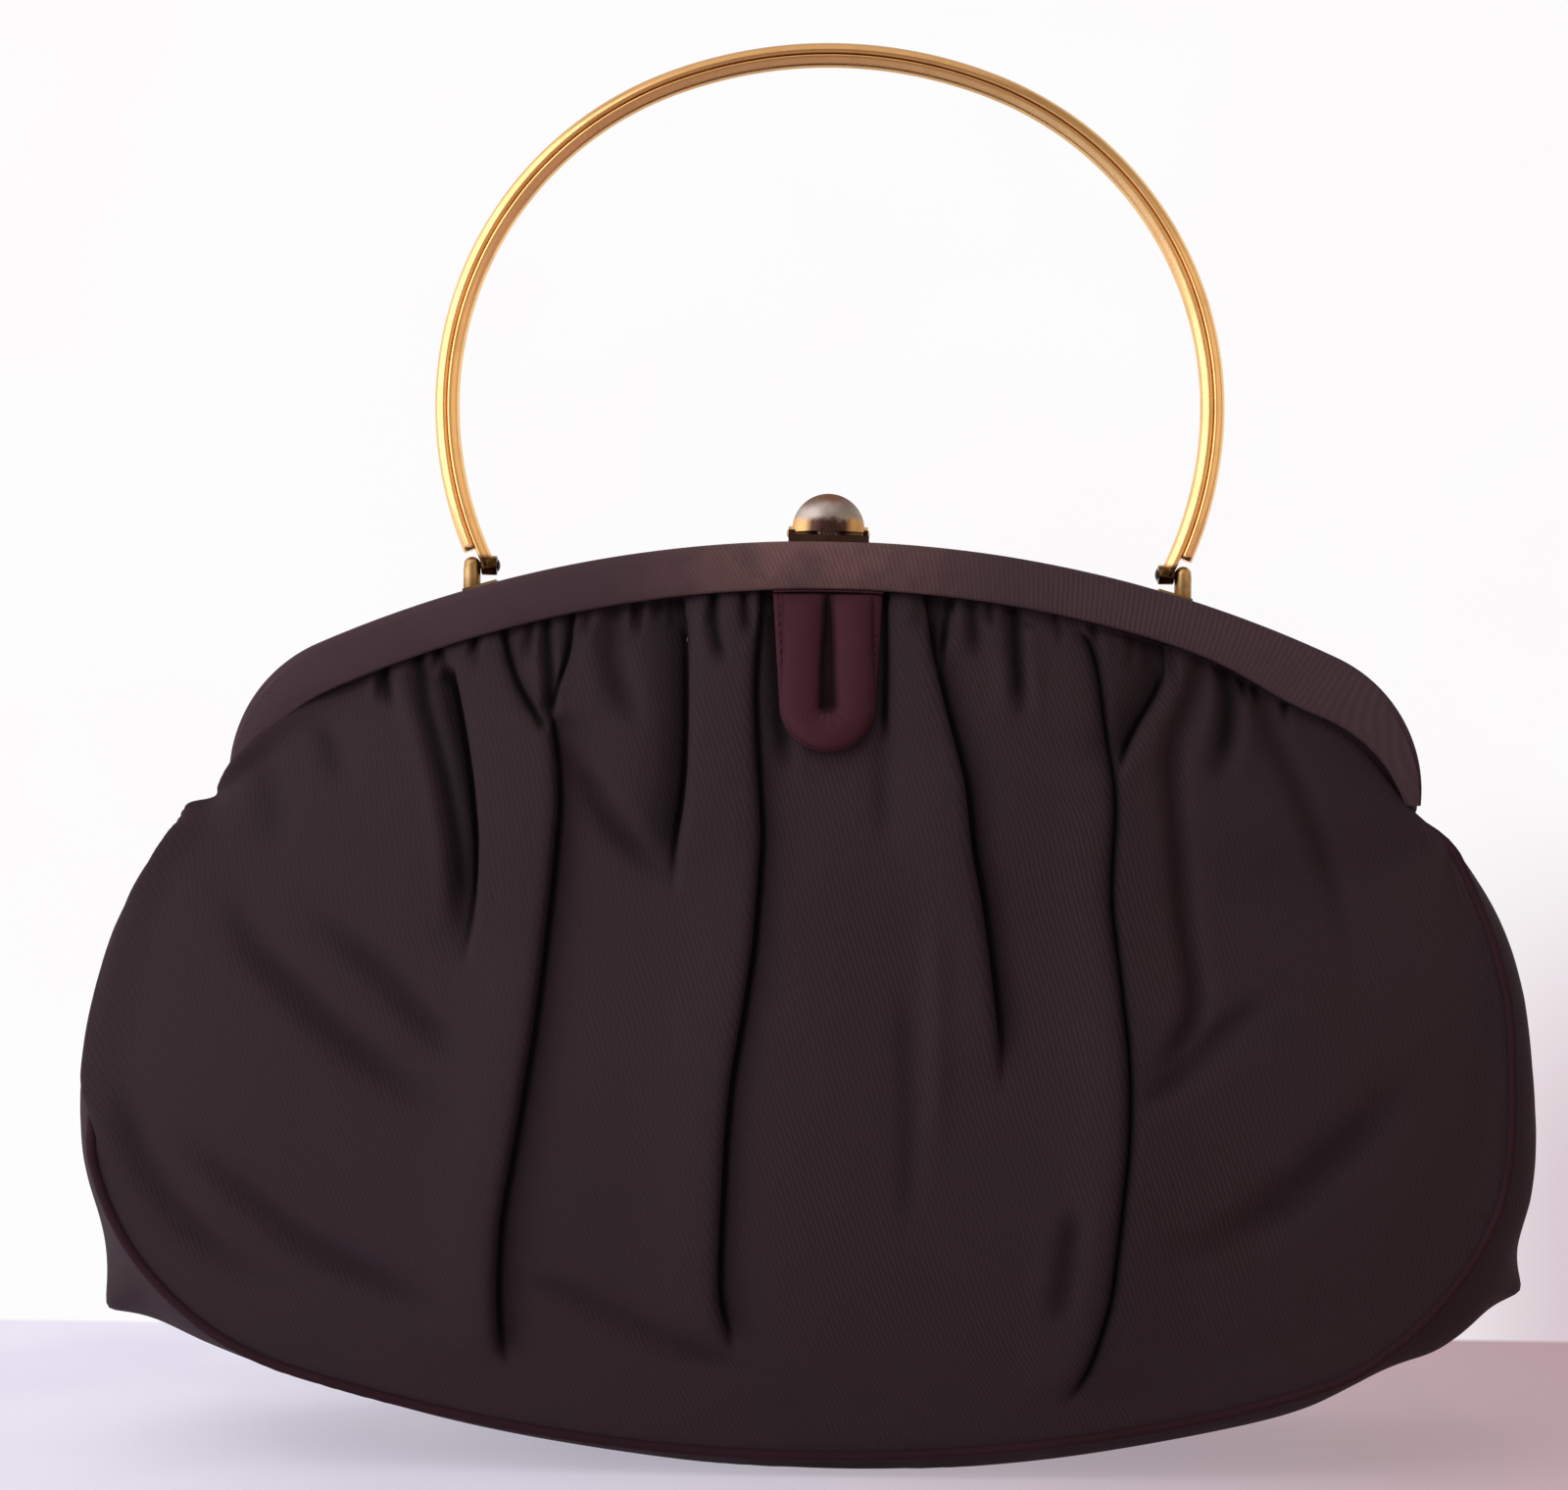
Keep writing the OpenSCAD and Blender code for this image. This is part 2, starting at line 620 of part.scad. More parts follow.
module handle_post() {
    color([0.7, 0.47, 0.2]) difference() {
        union() {
            translate([post_x, handle_y, arch_top(0, post_x)])
                cylinder(r = post_r, h = pivot_z - arch_top(0, post_x), $fn = round_fn);
            translate([post_x, handle_y, pivot_z]) sphere(post_r, $fn = round_fn);
            slab(handle_y - foot_half_d, handle_y + foot_half_d) intersection() {
                translate([0, arch_z]) circle(frame_arch_r + foot_t, $fn = arch_fn);
                translate([pivot_x - eye_half_w, arch_top(0, post_x + post_r) - cut])
                    square([post_x + post_r - pivot_x + eye_half_w, ear_rise]);
            }
        }
        slab(-frame_depth, frame_depth) translate([0, arch_z])
            circle(frame_arch_r, $fn = arch_fn);
        pivot_hole(pivot_r);
    }
    color([0.7, 0.47, 0.2]) {
        post_stem();
        stem(post_x, handle_y, stem_head_r, post_stem_z - stem_head_h, post_stem_z);
    }
}
module pivot_hole(r) {
    translate([pivot_x - eye_half_w - cut, handle_y, pivot_z]) rotate([0, 90, 0])
        cylinder(r = r, h = 2 * eye_half_w + side_gap + 2 * post_r + 2 * cut, $fn = round_fn);
}
module pivot_rivet() {
    color([0.75, 0.52, 0.22]) {
        translate([pivot_x - eye_half_w - side_gap, handle_y, pivot_z]) rotate([0, 90, 0])
            cylinder(r = pivot_r, h = 2 * eye_half_w + 2 * side_gap + 1.7 * post_r, $fn = round_fn);
        translate([pivot_x - eye_half_w - side_gap, handle_y, pivot_z]) rotate([0, -90, 0])
            cap(pivot_head_r, pivot_head_h);
    }
}
module right_handle_post() { handle_post(); }
module left_handle_post() { mirror([1, 0, 0]) handle_post(); }
module right_pivot_rivet() { pivot_rivet(); }
module left_pivot_rivet() { mirror([1, 0, 0]) pivot_rivet(); }

// The clasp
module bent_plate(low_y, high_y, t) {
    slab(low_y, high_y) intersection() {
        difference() {
            translate([0, arch_z]) circle(frame_arch_r + t, $fn = arch_fn);
            translate([0, arch_z]) circle(frame_arch_r, $fn = arch_fn);
        }
        translate([-clasp_half_w, frame_top_z - cut]) square([2 * clasp_half_w, t + 2 * cut]);
    }
}
module along_x(x, w, y, z, r) {
    translate([x, y, z]) rotate([0, 90, 0]) cylinder(r = r, h = w, $fn = round_fn);
}
module clasp_base_plate() {
    color([0.35, 0.25, 0.12]) {
        difference() {
            union() {
                bent_plate(plate_gap, clasp_back, clasp_plate_t);
                both_sides() {
                    along_x(clasp_half_w - clasp_ear_t, clasp_ear_t, clasp_y, clasp_z, clasp_ear_r);
                    translate([clasp_half_w - clasp_ear_t, clasp_y - clasp_ear_r, frame_top_z])
                        cube([clasp_ear_t, 2 * clasp_ear_r, clasp_z - frame_top_z]);
                }
            }
            along_x(-clasp_half_w - cut, 2 * (clasp_half_w + cut), clasp_y, clasp_z, clasp_pin_r);
        }
        clasp_stems(clasp_stem_y, frame_top_z + clasp_plate_t / 2);
    }
}
module clasp_pin() {
    color([0.6, 0.45, 0.2]) {
        along_x(-clasp_half_w, 2 * clasp_half_w, clasp_y, clasp_z, clasp_pin_r);
        both_sides() translate([clasp_half_w, clasp_y, clasp_z]) rotate([0, 90, 0])
            cap(clasp_pin_r * 1.5, clasp_pin_r * 0.6);
    }
}
module clasp_catch_plate() {
    color([0.25, 0.18, 0.1]) {
        difference() {
            bent_plate(-catch_front, -plate_gap, catch_t);
            translate([-hook_half_w - 2 * side_gap, -hook_reach - side_gap, frame_top_z - cut])
                cube([2 * hook_half_w + 4 * side_gap, hook_t + 2 * side_gap, catch_t + 2 * cut]);
        }
        translate([-clasp_half_w, -catch_front, frame_top_z + catch_t / 2])
            cube([bump_w, bump_w, catch_t / 2 + bump_h]);
        clasp_stems(-catch_stem_d, frame_top_z + catch_t / 2);
    }
}
module clasp_thumb_piece() {
    knuckle_low = spring_half_w + 2 * side_gap;
    knuckle_high = clasp_half_w - clasp_ear_t - side_gap;
    color([0.65, 0.48, 0.25]) {
        difference() {
            union() {
                intersection() {
                    translate([0, dome_back_y, dome_z]) rotate([90, 0, 0])
                        cap(dome_r, dome_h, dome_rim_t);
                    translate([-frame_w, -frame_w, clasp_z + side_gap])
                        cube([2 * frame_w, 2 * frame_w, 2 * frame_w]);
                }
                both_sides() {
                    along_x(knuckle_low, knuckle_high - knuckle_low, clasp_y, clasp_z,
                        clasp_barrel_r);
                    translate([knuckle_low, dome_back_y - dome_rim_t, clasp_z + side_gap])
                        cube([knuckle_high - knuckle_low,
                              clasp_y - dome_back_y + dome_rim_t, clasp_barrel_r * 1.5]);
                }
                translate([-hook_half_w, 0, clasp_z]) rotate([90, 0, 90])
                    linear_extrude(2 * hook_half_w) polygon([
                        [-hook_reach, hook_low_z - clasp_z], [hook_t - hook_reach, hook_low_z - clasp_z],
                        [hook_t - hook_reach, 0], [dome_back_y - dome_rim_t / 2, 0],
                        [dome_back_y - dome_rim_t / 2, hook_t], [-hook_reach, hook_t]]);
            }
            along_x(-clasp_half_w, 2 * clasp_half_w, clasp_y, clasp_z, clasp_pin_r + bore_gap);
        }
    }
}
module clasp_spring() {
    steps = 10;
    sides = 5;
    count = round(spring_turns * steps);
    // Angle, place along the pin and run of a leg past the coil
    function coil_ring(a, x, run) =
        let (n = [0, cos(a), sin(a)], t = [0, -sin(a), cos(a)],
             middle = [x, clasp_y, clasp_z] + spring_r * n + run * t)
        [for (k = [0:sides - 1]) middle + spring_wire_r
            * (cos(360 * k / sides) * n - sin(360 * k / sides) * [1, 0, 0])];
    coil_w = 2 * (spring_half_w - spring_wire_r);
    color([0.7, 0.7, 0.7]) tube([
        coil_ring(180, -coil_w / 2, -spring_leg),
        for (i = [0:count]) coil_ring(180 + 360 * i / steps, coil_w * (i / count - 1 / 2), 0),
        coil_ring(180 + 360 * spring_turns, coil_w / 2, spring_leg / 2)]);
}

// The cloth body
lining_off = wall + pleat_depth + soft_gap;
lining_inset = board_seat + board_t + soft_gap;
edge_inset = piping_r + hem_gap;
gusset_gap = wall + hem_gap;
module front_panel() {
    color([0.2, 0.13, 0.15])
        front_sheet(panel_rows(panel_columns, 8, edge_inset, 0, front_fold_shares), wall);
}
module front_gathers() {
    color([0.23, 0.15, 0.17])
        front_sheet(gather_rows(panel_columns, 7, 0, panel_hem_d, 0, front_fold_shares), wall);
}
module back_panel() {
    color([0.2, 0.13, 0.15]) mirror([0, 1, 0])
        front_sheet(concat(panel_rows(back_columns, 7, edge_inset, 0, back_fold_shares),
            gather_rows(back_columns, 6, 1, panel_hem_d, 0, back_fold_shares)), wall);
}
module gusset() {
    color([0.17, 0.1, 0.12]) sheet(gusset_rows(gusset_columns, 7, wall, gusset_gap),
        gusset_rows(gusset_columns, 7, 0, gusset_gap));
}
module piping() {
    count = 40;
    line = [for (i = [0:count]) let (p = seam(0, 2 * i / count - 1)) [p.x, -seam_depth(p.y), p.y]];
    tube([for (i = [0:count])
        flat_ring(line[i], line[min(count, i + 1)] - line[max(0, i - 1)], piping_r, piping_r, 6)]);
}
module front_piping() { color([0.3, 0.08, 0.12]) piping(); }
module back_piping() { color([0.3, 0.08, 0.12]) mirror([0, 1, 0]) piping(); }
module lining_front() {
    color([0.35, 0.2, 0.25])
        front_sheet(panel_rows(lining_columns, 6, lining_inset, lining_off, []), lining_t);
}
module lining_front_top() {
    color([0.35, 0.2, 0.25])
        front_sheet(gather_rows(lining_columns, 5, 0, lining_hem_d, lining_off, []), lining_t);
}
module lining_back() {
    color([0.35, 0.2, 0.25]) mirror([0, 1, 0])
        front_sheet(concat(panel_rows(lining_columns, 6, lining_inset, lining_off, []),
            gather_rows(lining_columns, 5, 1, lining_hem_d, lining_off, [])), lining_t);
}
module lining_gusset() {
    seam_gap = lining_off + lining_t + hem_gap;
    color([0.35, 0.2, 0.25]) sheet(
        gusset_rows(32, 5, lining_inset + lining_t, seam_gap),
        gusset_rows(32, 5, lining_inset, seam_gap));
}
// The hollow of the gusset's bottom, raised by a distance
module dish(raise) {
    intersection() {
        translate([0, low_r - gusset_sag]) circle(low_r - raise, $fn = 2 * round_fn);
        translate([-board_half_l, raise]) square([2 * board_half_l, base_d]);
    }
}
module base_board() {
    color([0.6, 0.5, 0.35]) slab(-board_half_w, board_half_w)
        difference() { dish(board_seat); dish(board_seat + board_t); }
}

// The inner pocket lies against the back lining and stands off at its mouth
function pocket_point(x, z) =
    let (foot_z = seam_low_z + lining_inset, v = (z - foot_z) / (split_mid_z - foot_z),
         foot_reach = seam(lining_inset, panel_end_share / 4).x * 4,
         u = x / (foot_reach * (1 - v) + joint_point(gather_end_share).x * v),
         slack = pocket_slack * (1 - pow(2 * x / pocket_w, 2))
             * (z - pocket_low_z) / (pocket_top_z - pocket_low_z))
    panel_point(u, v, lining_inset, lining_off + lining_t + side_gap + slack, []);
module inner_pocket() {
    columns = 12;
    rows = 6;
    color([0.4, 0.24, 0.29]) mirror([0, 1, 0]) front_sheet(
        [for (i = [0:rows]) [for (j = [0:columns]) pocket_point(pocket_w * (j / columns - 1 / 2),
            pocket_low_z + (pocket_top_z - pocket_low_z) * i / rows)]], lining_t);
}

// The pull tab
tab_top_z = frame_top_z - band_h - tab_drop;
tab_turn_z = tab_low_z + tab_half_w;
// Depth of the tab's back over the gathered cloth, at a height
function tab_depth(z) =
    let (low_z = split_mid_z + joint_gap, v = (z - low_z) / (band_line(-soft_gap, 0).y - low_z))
    soft_gap + panel_hem_d + (split_d - panel_hem_d) * (1 - pow(v, gather_power));
module tab_stay() {
    color([0.3, 0.08, 0.12]) {
        slab(-tab_hem_d, -tab_hem_d + backing_t) strip(stay_rise, -side_gap);
        slab(-stay_front, -panel_hem_d - soft_gap) strip(-side_gap, -side_gap - backing_t / 2);
    }
}
// A strip across the pull tab, between two distances over the band's edge
module strip(outer, inner) {
    intersection() {
        difference() { under_band(outer); under_band(inner); }
        translate([-tab_half_w, tab_turn_z]) square([2 * tab_half_w, frame_top_z - tab_turn_z]);
    }
}
module tab_backing() {
    flat_rows = 4;
    round_rows = 5;
    columns = 6;
    last_lean = 80;
    // Half width and height of each row, from the round foot up
    rows = [
        for (i = [round_rows:-1:1]) let (a = last_lean * i / round_rows)
            [tab_half_w * cos(a), tab_turn_z - tab_half_w * sin(a)],
        for (i = [0:flat_rows])
            [tab_half_w, tab_turn_z + (tab_top_z - tab_turn_z) * i / flat_rows]];
    color([0.3, 0.08, 0.12]) {
        front_sheet([for (row = rows) [for (j = [0:columns])
            [row[0] * (2 * j / columns - 1), tab_depth(row[1]) + backing_t, row[1]]]], backing_t);
        along_x(-tab_half_w, 2 * tab_half_w, -tab_axis_d, tab_top_z, tab_hem_r);
    }
}
module tab_roll() {
    leg_rows = 8;
    turn_rows = 10;
    sides = 7;
    roll_x = slit_half_w + roll_half_w;
    top_z = tab_top_z - roll_drop;
    // Place and direction across of each section, along one leg, round and up
    stations = [
        for (i = [0:leg_rows - 1])
            [[-roll_x, top_z + (tab_turn_z - top_z) * i / leg_rows], [-1, 0], i],
        for (i = [0:turn_rows]) let (a = 180 * i / turn_rows)
            [[-roll_x * cos(a), tab_turn_z - roll_x * sin(a)], [-cos(a), -sin(a)], leg_rows],
        for (i = [leg_rows - 1:-1:0])
            [[roll_x, top_z + (tab_turn_z - top_z) * i / leg_rows], [1, 0], i]];
    color([0.36, 0.1, 0.15]) tube([for (s = stations) [for (k = [0:sides])
        let (a = 180 * k / sides, p = s[0] + s[1] * roll_half_w * cos(a),
             swell = s[2] == 0 ? roll_start_share : 1)
        [p.x, -(tab_depth(p.y) + backing_t + hem_gap + roll_half_d * swell * sin(a)), p.y]]]);
}

back_frame_channel();
back_frame_cover();
back_binding_cord();
left_hinge_rivet();
right_hinge_rivet();
left_handle_post();
right_handle_post();
left_pivot_rivet();
right_pivot_rivet();
clasp_base_plate();
clasp_pin();
clasp_spring();
back_panel();
front_panel();
gusset();
front_piping();
back_piping();
lining_back();
lining_front();
lining_gusset();
inner_pocket();
base_board();
front_frame_channel();
front_frame_cover();
front_binding_cord();
front_gathers();
lining_front_top();
clasp_catch_plate();
tab_stay();
handle_band();
clasp_thumb_piece();
tab_backing();
tab_roll();
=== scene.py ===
import math

import bmesh
import bpy
import numpy as np
from bpy.props import FloatProperty, FloatVectorProperty, IntProperty, PointerProperty
from bpy.types import Operator, Panel, PropertyGroup
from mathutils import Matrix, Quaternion, Vector


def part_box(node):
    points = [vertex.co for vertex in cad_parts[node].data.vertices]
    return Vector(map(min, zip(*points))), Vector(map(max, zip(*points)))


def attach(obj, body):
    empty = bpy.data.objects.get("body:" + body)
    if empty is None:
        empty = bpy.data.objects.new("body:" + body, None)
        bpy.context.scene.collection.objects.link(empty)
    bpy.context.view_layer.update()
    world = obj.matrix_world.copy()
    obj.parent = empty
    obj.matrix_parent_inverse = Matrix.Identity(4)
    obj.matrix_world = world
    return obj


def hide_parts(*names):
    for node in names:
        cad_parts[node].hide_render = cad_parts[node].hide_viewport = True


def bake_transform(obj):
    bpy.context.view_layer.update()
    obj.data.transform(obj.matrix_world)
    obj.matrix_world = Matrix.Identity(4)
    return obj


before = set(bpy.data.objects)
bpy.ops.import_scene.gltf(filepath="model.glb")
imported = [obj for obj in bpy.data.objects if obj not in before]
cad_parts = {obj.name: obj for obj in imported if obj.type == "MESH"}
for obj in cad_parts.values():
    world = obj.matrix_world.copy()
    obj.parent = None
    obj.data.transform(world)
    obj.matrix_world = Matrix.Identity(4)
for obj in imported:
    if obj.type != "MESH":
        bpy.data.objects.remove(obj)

bl_info = {
    "name": "Framed evening bag",
    "version": (1, 0, 0),
    "blender": (4, 5, 0),
    "location": "View3D > Sidebar > Bag",
    "description": "Cloth, trim, finishes and stage of a framed evening bag",
    "category": "Object",
}

MM = 0.001
UV_NAME = "cloth_mm"


def length(name, text, value, low=0.0, high=1.0):
    """A size of the bag, kept in metres and written here in millimetres."""
    return FloatProperty(
        name=name, description=text, default=value * MM, min=low * MM, max=high * MM, unit="LENGTH", precision=5
    )


def colour(name, text, value):
    """A colour of the bag, in linear red, green and blue."""
    return FloatVectorProperty(
        name=name, description=text, default=value, size=3, min=0.0, max=1.0, subtype="COLOR"
    )


def reach(node):
    """Lowest and highest corner of a node of the frame, in millimetres."""
    low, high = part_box(node)
    return np.array(low) / MM, np.array(high) / MM


COVER_LOW, COVER_HIGH = reach("front_frame_cover")


class BagFrameSizes(PropertyGroup):
    """Sizes of the arched frame and its band."""

    top_z: length("Crown height", "Height of the frame's crown", float(COVER_HIGH[2]), 100, 250)
    half_w: length("Half width", "Half of the frame's width", float(COVER_HIGH[0]), 80, 150)
    arch_r: length("Arch radius", "Radius of the arched top", 238, 150, 400)
    corner_r: length("Shoulder radius", "Radius of the rounded shoulders", 28, 15, 50)
    band_h: length("Band height", "Height of the covered band at the crown", 9.2, 5, 15)
    band_end_w: length("Band end width", "Width of the band at its ends", 1.4, 0.5, 4)
    band_corner_r: length("Band shoulder radius", "Radius of the band's lower edge", 30, 15, 50)
    half_depth: length("Half depth", "Half of the depth of the frame", -float(COVER_LOW[1]), 4, 12)
    hinge_drop: length("Hinge drop", "Hinge axis under the shoulder centres", 2.78, 0, 6)
    edge_round: length("Edge rounding", "Rounding of the band's edges", 1.1, 0.2, 2)
    crown: length("Band crown", "How far the band's face is domed", 0.35, 0, 1)


class BagHandleSizes(PropertyGroup):
    """Sizes of the arched handle and its two rails."""

    crown_r: length("Crown radius", "Outer radius of the handle's top", 90, 70, 120)
    half_w: length("Half width", "Half of the handle's width, outside", 76.7, 60, 90)
    leg_r: length("Leg radius", "Outer radius of the handle's legs", 75, 60, 100)
    wide_up: length("Widest place", "Height of its widest place over the pivots", 31.8, 20, 45)
    band_w: length("Band width", "Width of both rails together", 4.7, 4, 6)
    half_depth: length("Half depth", "Half of the rails' depth", 2.0, 1, 3)
    groove: length("Groove", "Depth of the groove between the rails", 0.5, 0.1, 1)
    rail_cut: length("Rail cut", "Height of the outer rail's ends over the pivots", 2.8, 1, 6)
    eye_r: length("Eye radius", "Radius of the bored ends", 1.9, 1.4, 2)
    bore_r: length("Bore radius", "Radius of the bores", 0.75, 0.5, 1)
    eye_half_w: length("Eye half width", "Half of the width of the bored ends", 1.5, 1, 2)


class BagClothSizes(PropertyGroup):
    """Sizes of the cloth body, its folds and its weave."""

    seam_over: length("Seam overhang", "How far the seams bulge past the frame", 17, 5, 40)
    seam_low_z: length("Seam height", "Height of the seams at the middle", 4, 2, 10)
    low_r: length("Bottom radius", "Radius of the seams' long bottom curve", 330, 200, 500)
    seam_corner_r: length("Corner radius", "Radius of the seams' lower corners", 50, 30, 80)
    seam_side_r: length("Side radius", "Radius of the seams' upper sides", 104, 60, 150)
    seam_drop: length("Seam drop", "How far under the hinge the seams end", 7, 3, 15)
    gusset_swell: length("Gusset swell", "How far the gusset swells past the seams", 7, 2, 15)
    gusset_sag: length("Gusset sag", "Sag of the gusset below the ground", 2.5, 1, 6)
    gusset_corner_r: length("Gusset corner", "Radius of the gusset's lower corners", 34, 20, 60)
    gusset_side_r: length("Gusset side", "Radius of the gusset's upper sides", 90.5, 60, 130)
    gusset_straight: length("Gusset straight", "Upright stretch of the gusset", 11, 5, 20)
    base_d: length("Half depth below", "Half of the depth at the bottom seams", 27, 15, 50)
    seam_top_d: length("Half depth above", "Half of the depth under the hinges", 9, 5, 20)
    split_d: length("Half depth middle", "Half of the depth at the middle of the body", 28, 15, 50)
    split_mid_z: length("Widest height", "Height of the fullest part at the middle", 100, 60, 130)
    puff: length("Puff", "How far the panels puff out between the seams", 6.5, 0, 12)
    hem_d: length("Hem depth", "Depth at which the cloth enters the frame", 4.3, 2, 6)
    back_swell: length("Back swell", "How far the worn back swells past its seam under the hinges", 3, 0, 6)
    ear_left: length("Left ear", "How far the gusset's left lower corner sticks out", 7.5, 0, 10)
    ear_right: length("Right ear", "How far the gusset's right lower corner sticks out", 6, 0, 10)
    piping_r: length("Piping radius", "Radius of the piping", 0.95, 0.5, 2)
    lining_gap: length("Lining gap", "Distance from the cloth to the lining", 5, 3, 8)
    rib_pitch: length("Rib pitch", "Distance between the ribs of the twill", 0.85, 0.3, 2)
    fold_scale: FloatProperty(
        name="Fold strength", description="Share of the folds' measured depth", default=1.0, min=0, max=2
    )
    columns: IntProperty(name="Columns", description="Columns of the front cloth", default=380, min=60, max=420)
    rows: IntProperty(name="Rows", description="Rows of the front cloth", default=236, min=60, max=240)


class BagColours(PropertyGroup):
    """Colours of the cloth, the trim and the metal."""

    body: colour("Body", "Cloth of the body", (0.0355, 0.0228, 0.0272))
    body_red: colour("Body, warm", "Warmer patches in the body's cloth", (0.0390, 0.0226, 0.0266))
    band: colour("Band", "Cloth over the frame", (0.067, 0.041, 0.047))
    band_worn: colour("Band, worn", "Cloth over the frame where it is rubbed", (0.195, 0.105, 0.098))
    trim: colour("Trim", "Pull tab", (0.050, 0.0145, 0.0215))
    piping: colour("Piping", "Piping along the seams", (0.027, 0.0110, 0.0150))
    lining: colour("Lining", "Lining and pocket", (0.140, 0.070, 0.080))
    thread: colour("Thread", "Sewing thread of the tab", (0.058, 0.015, 0.022))
    brass_bright: colour("Bright brass", "Handle", (0.94, 0.59, 0.255))
    brass_dull: colour("Dull brass", "Posts and clasp where they are dull", (0.36, 0.17, 0.06))
    clasp: colour("Clasp", "Worn thumb piece of the clasp", (0.34, 0.30, 0.28))


class Millimetres:
    """The sizes of a property group, read in millimetres."""

    def __init__(self, group):
        for name, prop in group.bl_rna.properties.items():
            if prop.type == "FLOAT" and not prop.is_array and prop.unit == "LENGTH":
                setattr(self, name, getattr(group, name) / MM)
            elif prop.type in {"FLOAT", "INT"} and not prop.is_array:
                setattr(self, name, getattr(group, name))


def smoothstep(low, high, value):
    """Goes smoothly from 0 at the low value to 1 at the high one."""
    t = np.clip((np.asarray(value, float) - low) / (high - low), 0, 1)
    return t * t * (3 - 2 * t)


def hump(value, centre, width):
    """A smooth hump: 1 at its centre, falling off on both sides over its width."""
    return np.exp(-(((value - centre) / width) ** 2))


def blurred(values, sigma, axis=0):
    """Values along an axis, smoothed with a bell of the given width in samples."""
    if sigma < 0.3:
        return values
    half = int(3 * sigma) + 1
    bell = np.exp(-0.5 * (np.arange(-half, half + 1) / sigma) ** 2)
    bell /= bell.sum()
    moved = np.moveaxis(np.asarray(values, float), axis, 0)
    first, last = moved[:1], moved[-1:]
    low = 2 * first - moved[half:0:-1]
    high = 2 * last - moved[-2 : -half - 2 : -1]
    padded = np.concatenate([low, moved, high])
    result = sum(bell[k] * padded[k : k + len(moved)] for k in range(2 * half + 1))
    return np.moveaxis(result, 0, axis)


class Shape:
    """The lines and surfaces that the bag's cloth follows, in millimetres."""

    def __init__(self, scene):
        self.f = Millimetres(scene.bag_frame)
        self.c = Millimetres(scene.bag_cloth)
        f, c = self.f, self.c
        self.arch_z = f.top_z - f.arch_r
        self.hinge_z = self.shoulder_z(f.arch_r, f.half_w, f.corner_r) - f.hinge_drop
        self.end_z = self.hinge_z + 0.2
        self.seam_w = f.half_w + c.seam_over
        self.gusset_w = self.seam_w + c.gusset_swell
        self.seam_top = self.hinge_z - c.seam_drop
        self.side_x = float(self.seam(0, 1)[0])

    def shoulder_z(self, r, w, c):
        """Height of the shoulders' centres."""
        return self.arch_z + math.sqrt((r - c) ** 2 - (w - c) ** 2)

    def arch(self, share, r, w, c):
        """A point of an arch with rounded shoulders, for a share of its half length."""
        z = self.shoulder_z(r, w, c)
        lean = math.atan2(w - c, z - self.arch_z)
        first = r * lean
        second = c * (math.pi / 2 - lean - math.asin((self.end_z - z) / c))
        way = np.abs(share) * (first + second)
        on_arch = way < first
        a, b = way / r, lean + (way - first) / c
        x = np.where(on_arch, r * np.sin(a), w - c + c * np.sin(b))
        return np.where(share < 0, -x, x), np.where(on_arch, self.arch_z + r * np.cos(a), z + c * np.cos(b))

    def rim(self, inset, share):
        """The frame's outer rim, in x and z."""
        f = self.f
        return self.arch(np.asarray(share, float), f.arch_r - inset, f.half_w - inset, f.corner_r - inset)

    def band_line(self, grow, share):
        """The band's lower edge. On the right shoulder the worn cover hangs a little lower."""
        f = self.f
        share = np.asarray(share, float)
        lines = [
            self.arch(share, f.arch_r - f.band_h + g, f.half_w - f.band_end_w + g, f.band_corner_r + g)
            for g in (grow, grow - COVER_SAG)
        ]
        (x, z), (low_x, low_z) = lines
        sag = hump(x, *SAG_PLACE)
        return x + (low_x - x) * sag, z + (low_z - z) * sag

    def sewn_line(self, inset, share, half_w, low_z, corner_r, arc_r, straight):
        """A line round the body from hinge to hinge: a long bottom curve, a corner, an upright and an arc."""
        share = np.asarray(share, float)
        w, z0, r0 = half_w - inset, low_z + inset, self.c.low_r - inset
        r1, r2 = corner_r - inset, arc_r - inset
        z1 = z0 + r0 - math.sqrt((r0 - r1) ** 2 - (w - r1) ** 2)
        z2 = z1 + straight
        lean = math.asin((w - r1) / (r0 - r1))
        runs = [r0 * lean, r1 * (math.pi / 2 - lean), straight, r2 * math.asin((self.seam_top - z2) / r2)]
        ends = np.cumsum(runs)
        way = np.abs(share) * ends[3]
        a0, a1, a2 = way / r0, lean + (way - ends[0]) / r1, (way - ends[2]) / r2
        on = [way < ends[0], way < ends[1], way < ends[2]]
        x = np.select(on, [r0 * np.sin(a0), w - r1 + r1 * np.sin(a1), w + 0 * way], w - r2 + r2 * np.cos(a2))
        heights = [z0 + r0 - r0 * np.cos(a0), z1 - r1 * np.cos(a1), z1 + way - ends[1]]
        z = np.select(on, heights, z2 + r2 * np.sin(a2))
        return np.where(share < 0, -x, x), z

    def seam(self, inset, share):
        """The seam of a panel, in x and z."""
        c = self.c
        return self.sewn_line(inset, share, self.seam_w, c.seam_low_z, c.seam_corner_r, c.seam_side_r, 0)

    def gusset_middle(self, inset, share):
        """The middle line of the gusset, in x and z."""
        c = self.c
        return self.sewn_line(
            inset, share, self.gusset_w, -c.gusset_sag, c.gusset_corner_r, c.gusset_side_r, c.gusset_straight
        )

    def seam_depth(self, z):
        """Half of the gusset's width at a height."""
        c = self.c
        return c.seam_top_d + (c.base_d - c.seam_top_d) * (1 - np.clip(z / self.seam_top, 0, 1) ** 2)

    def tuck(self, x, z, front):
        """Share by which the worn front's left seam is drawn in under its swelling panel."""
        return front * smoothstep(-40, -95, x) * smoothstep(55, 70, z)

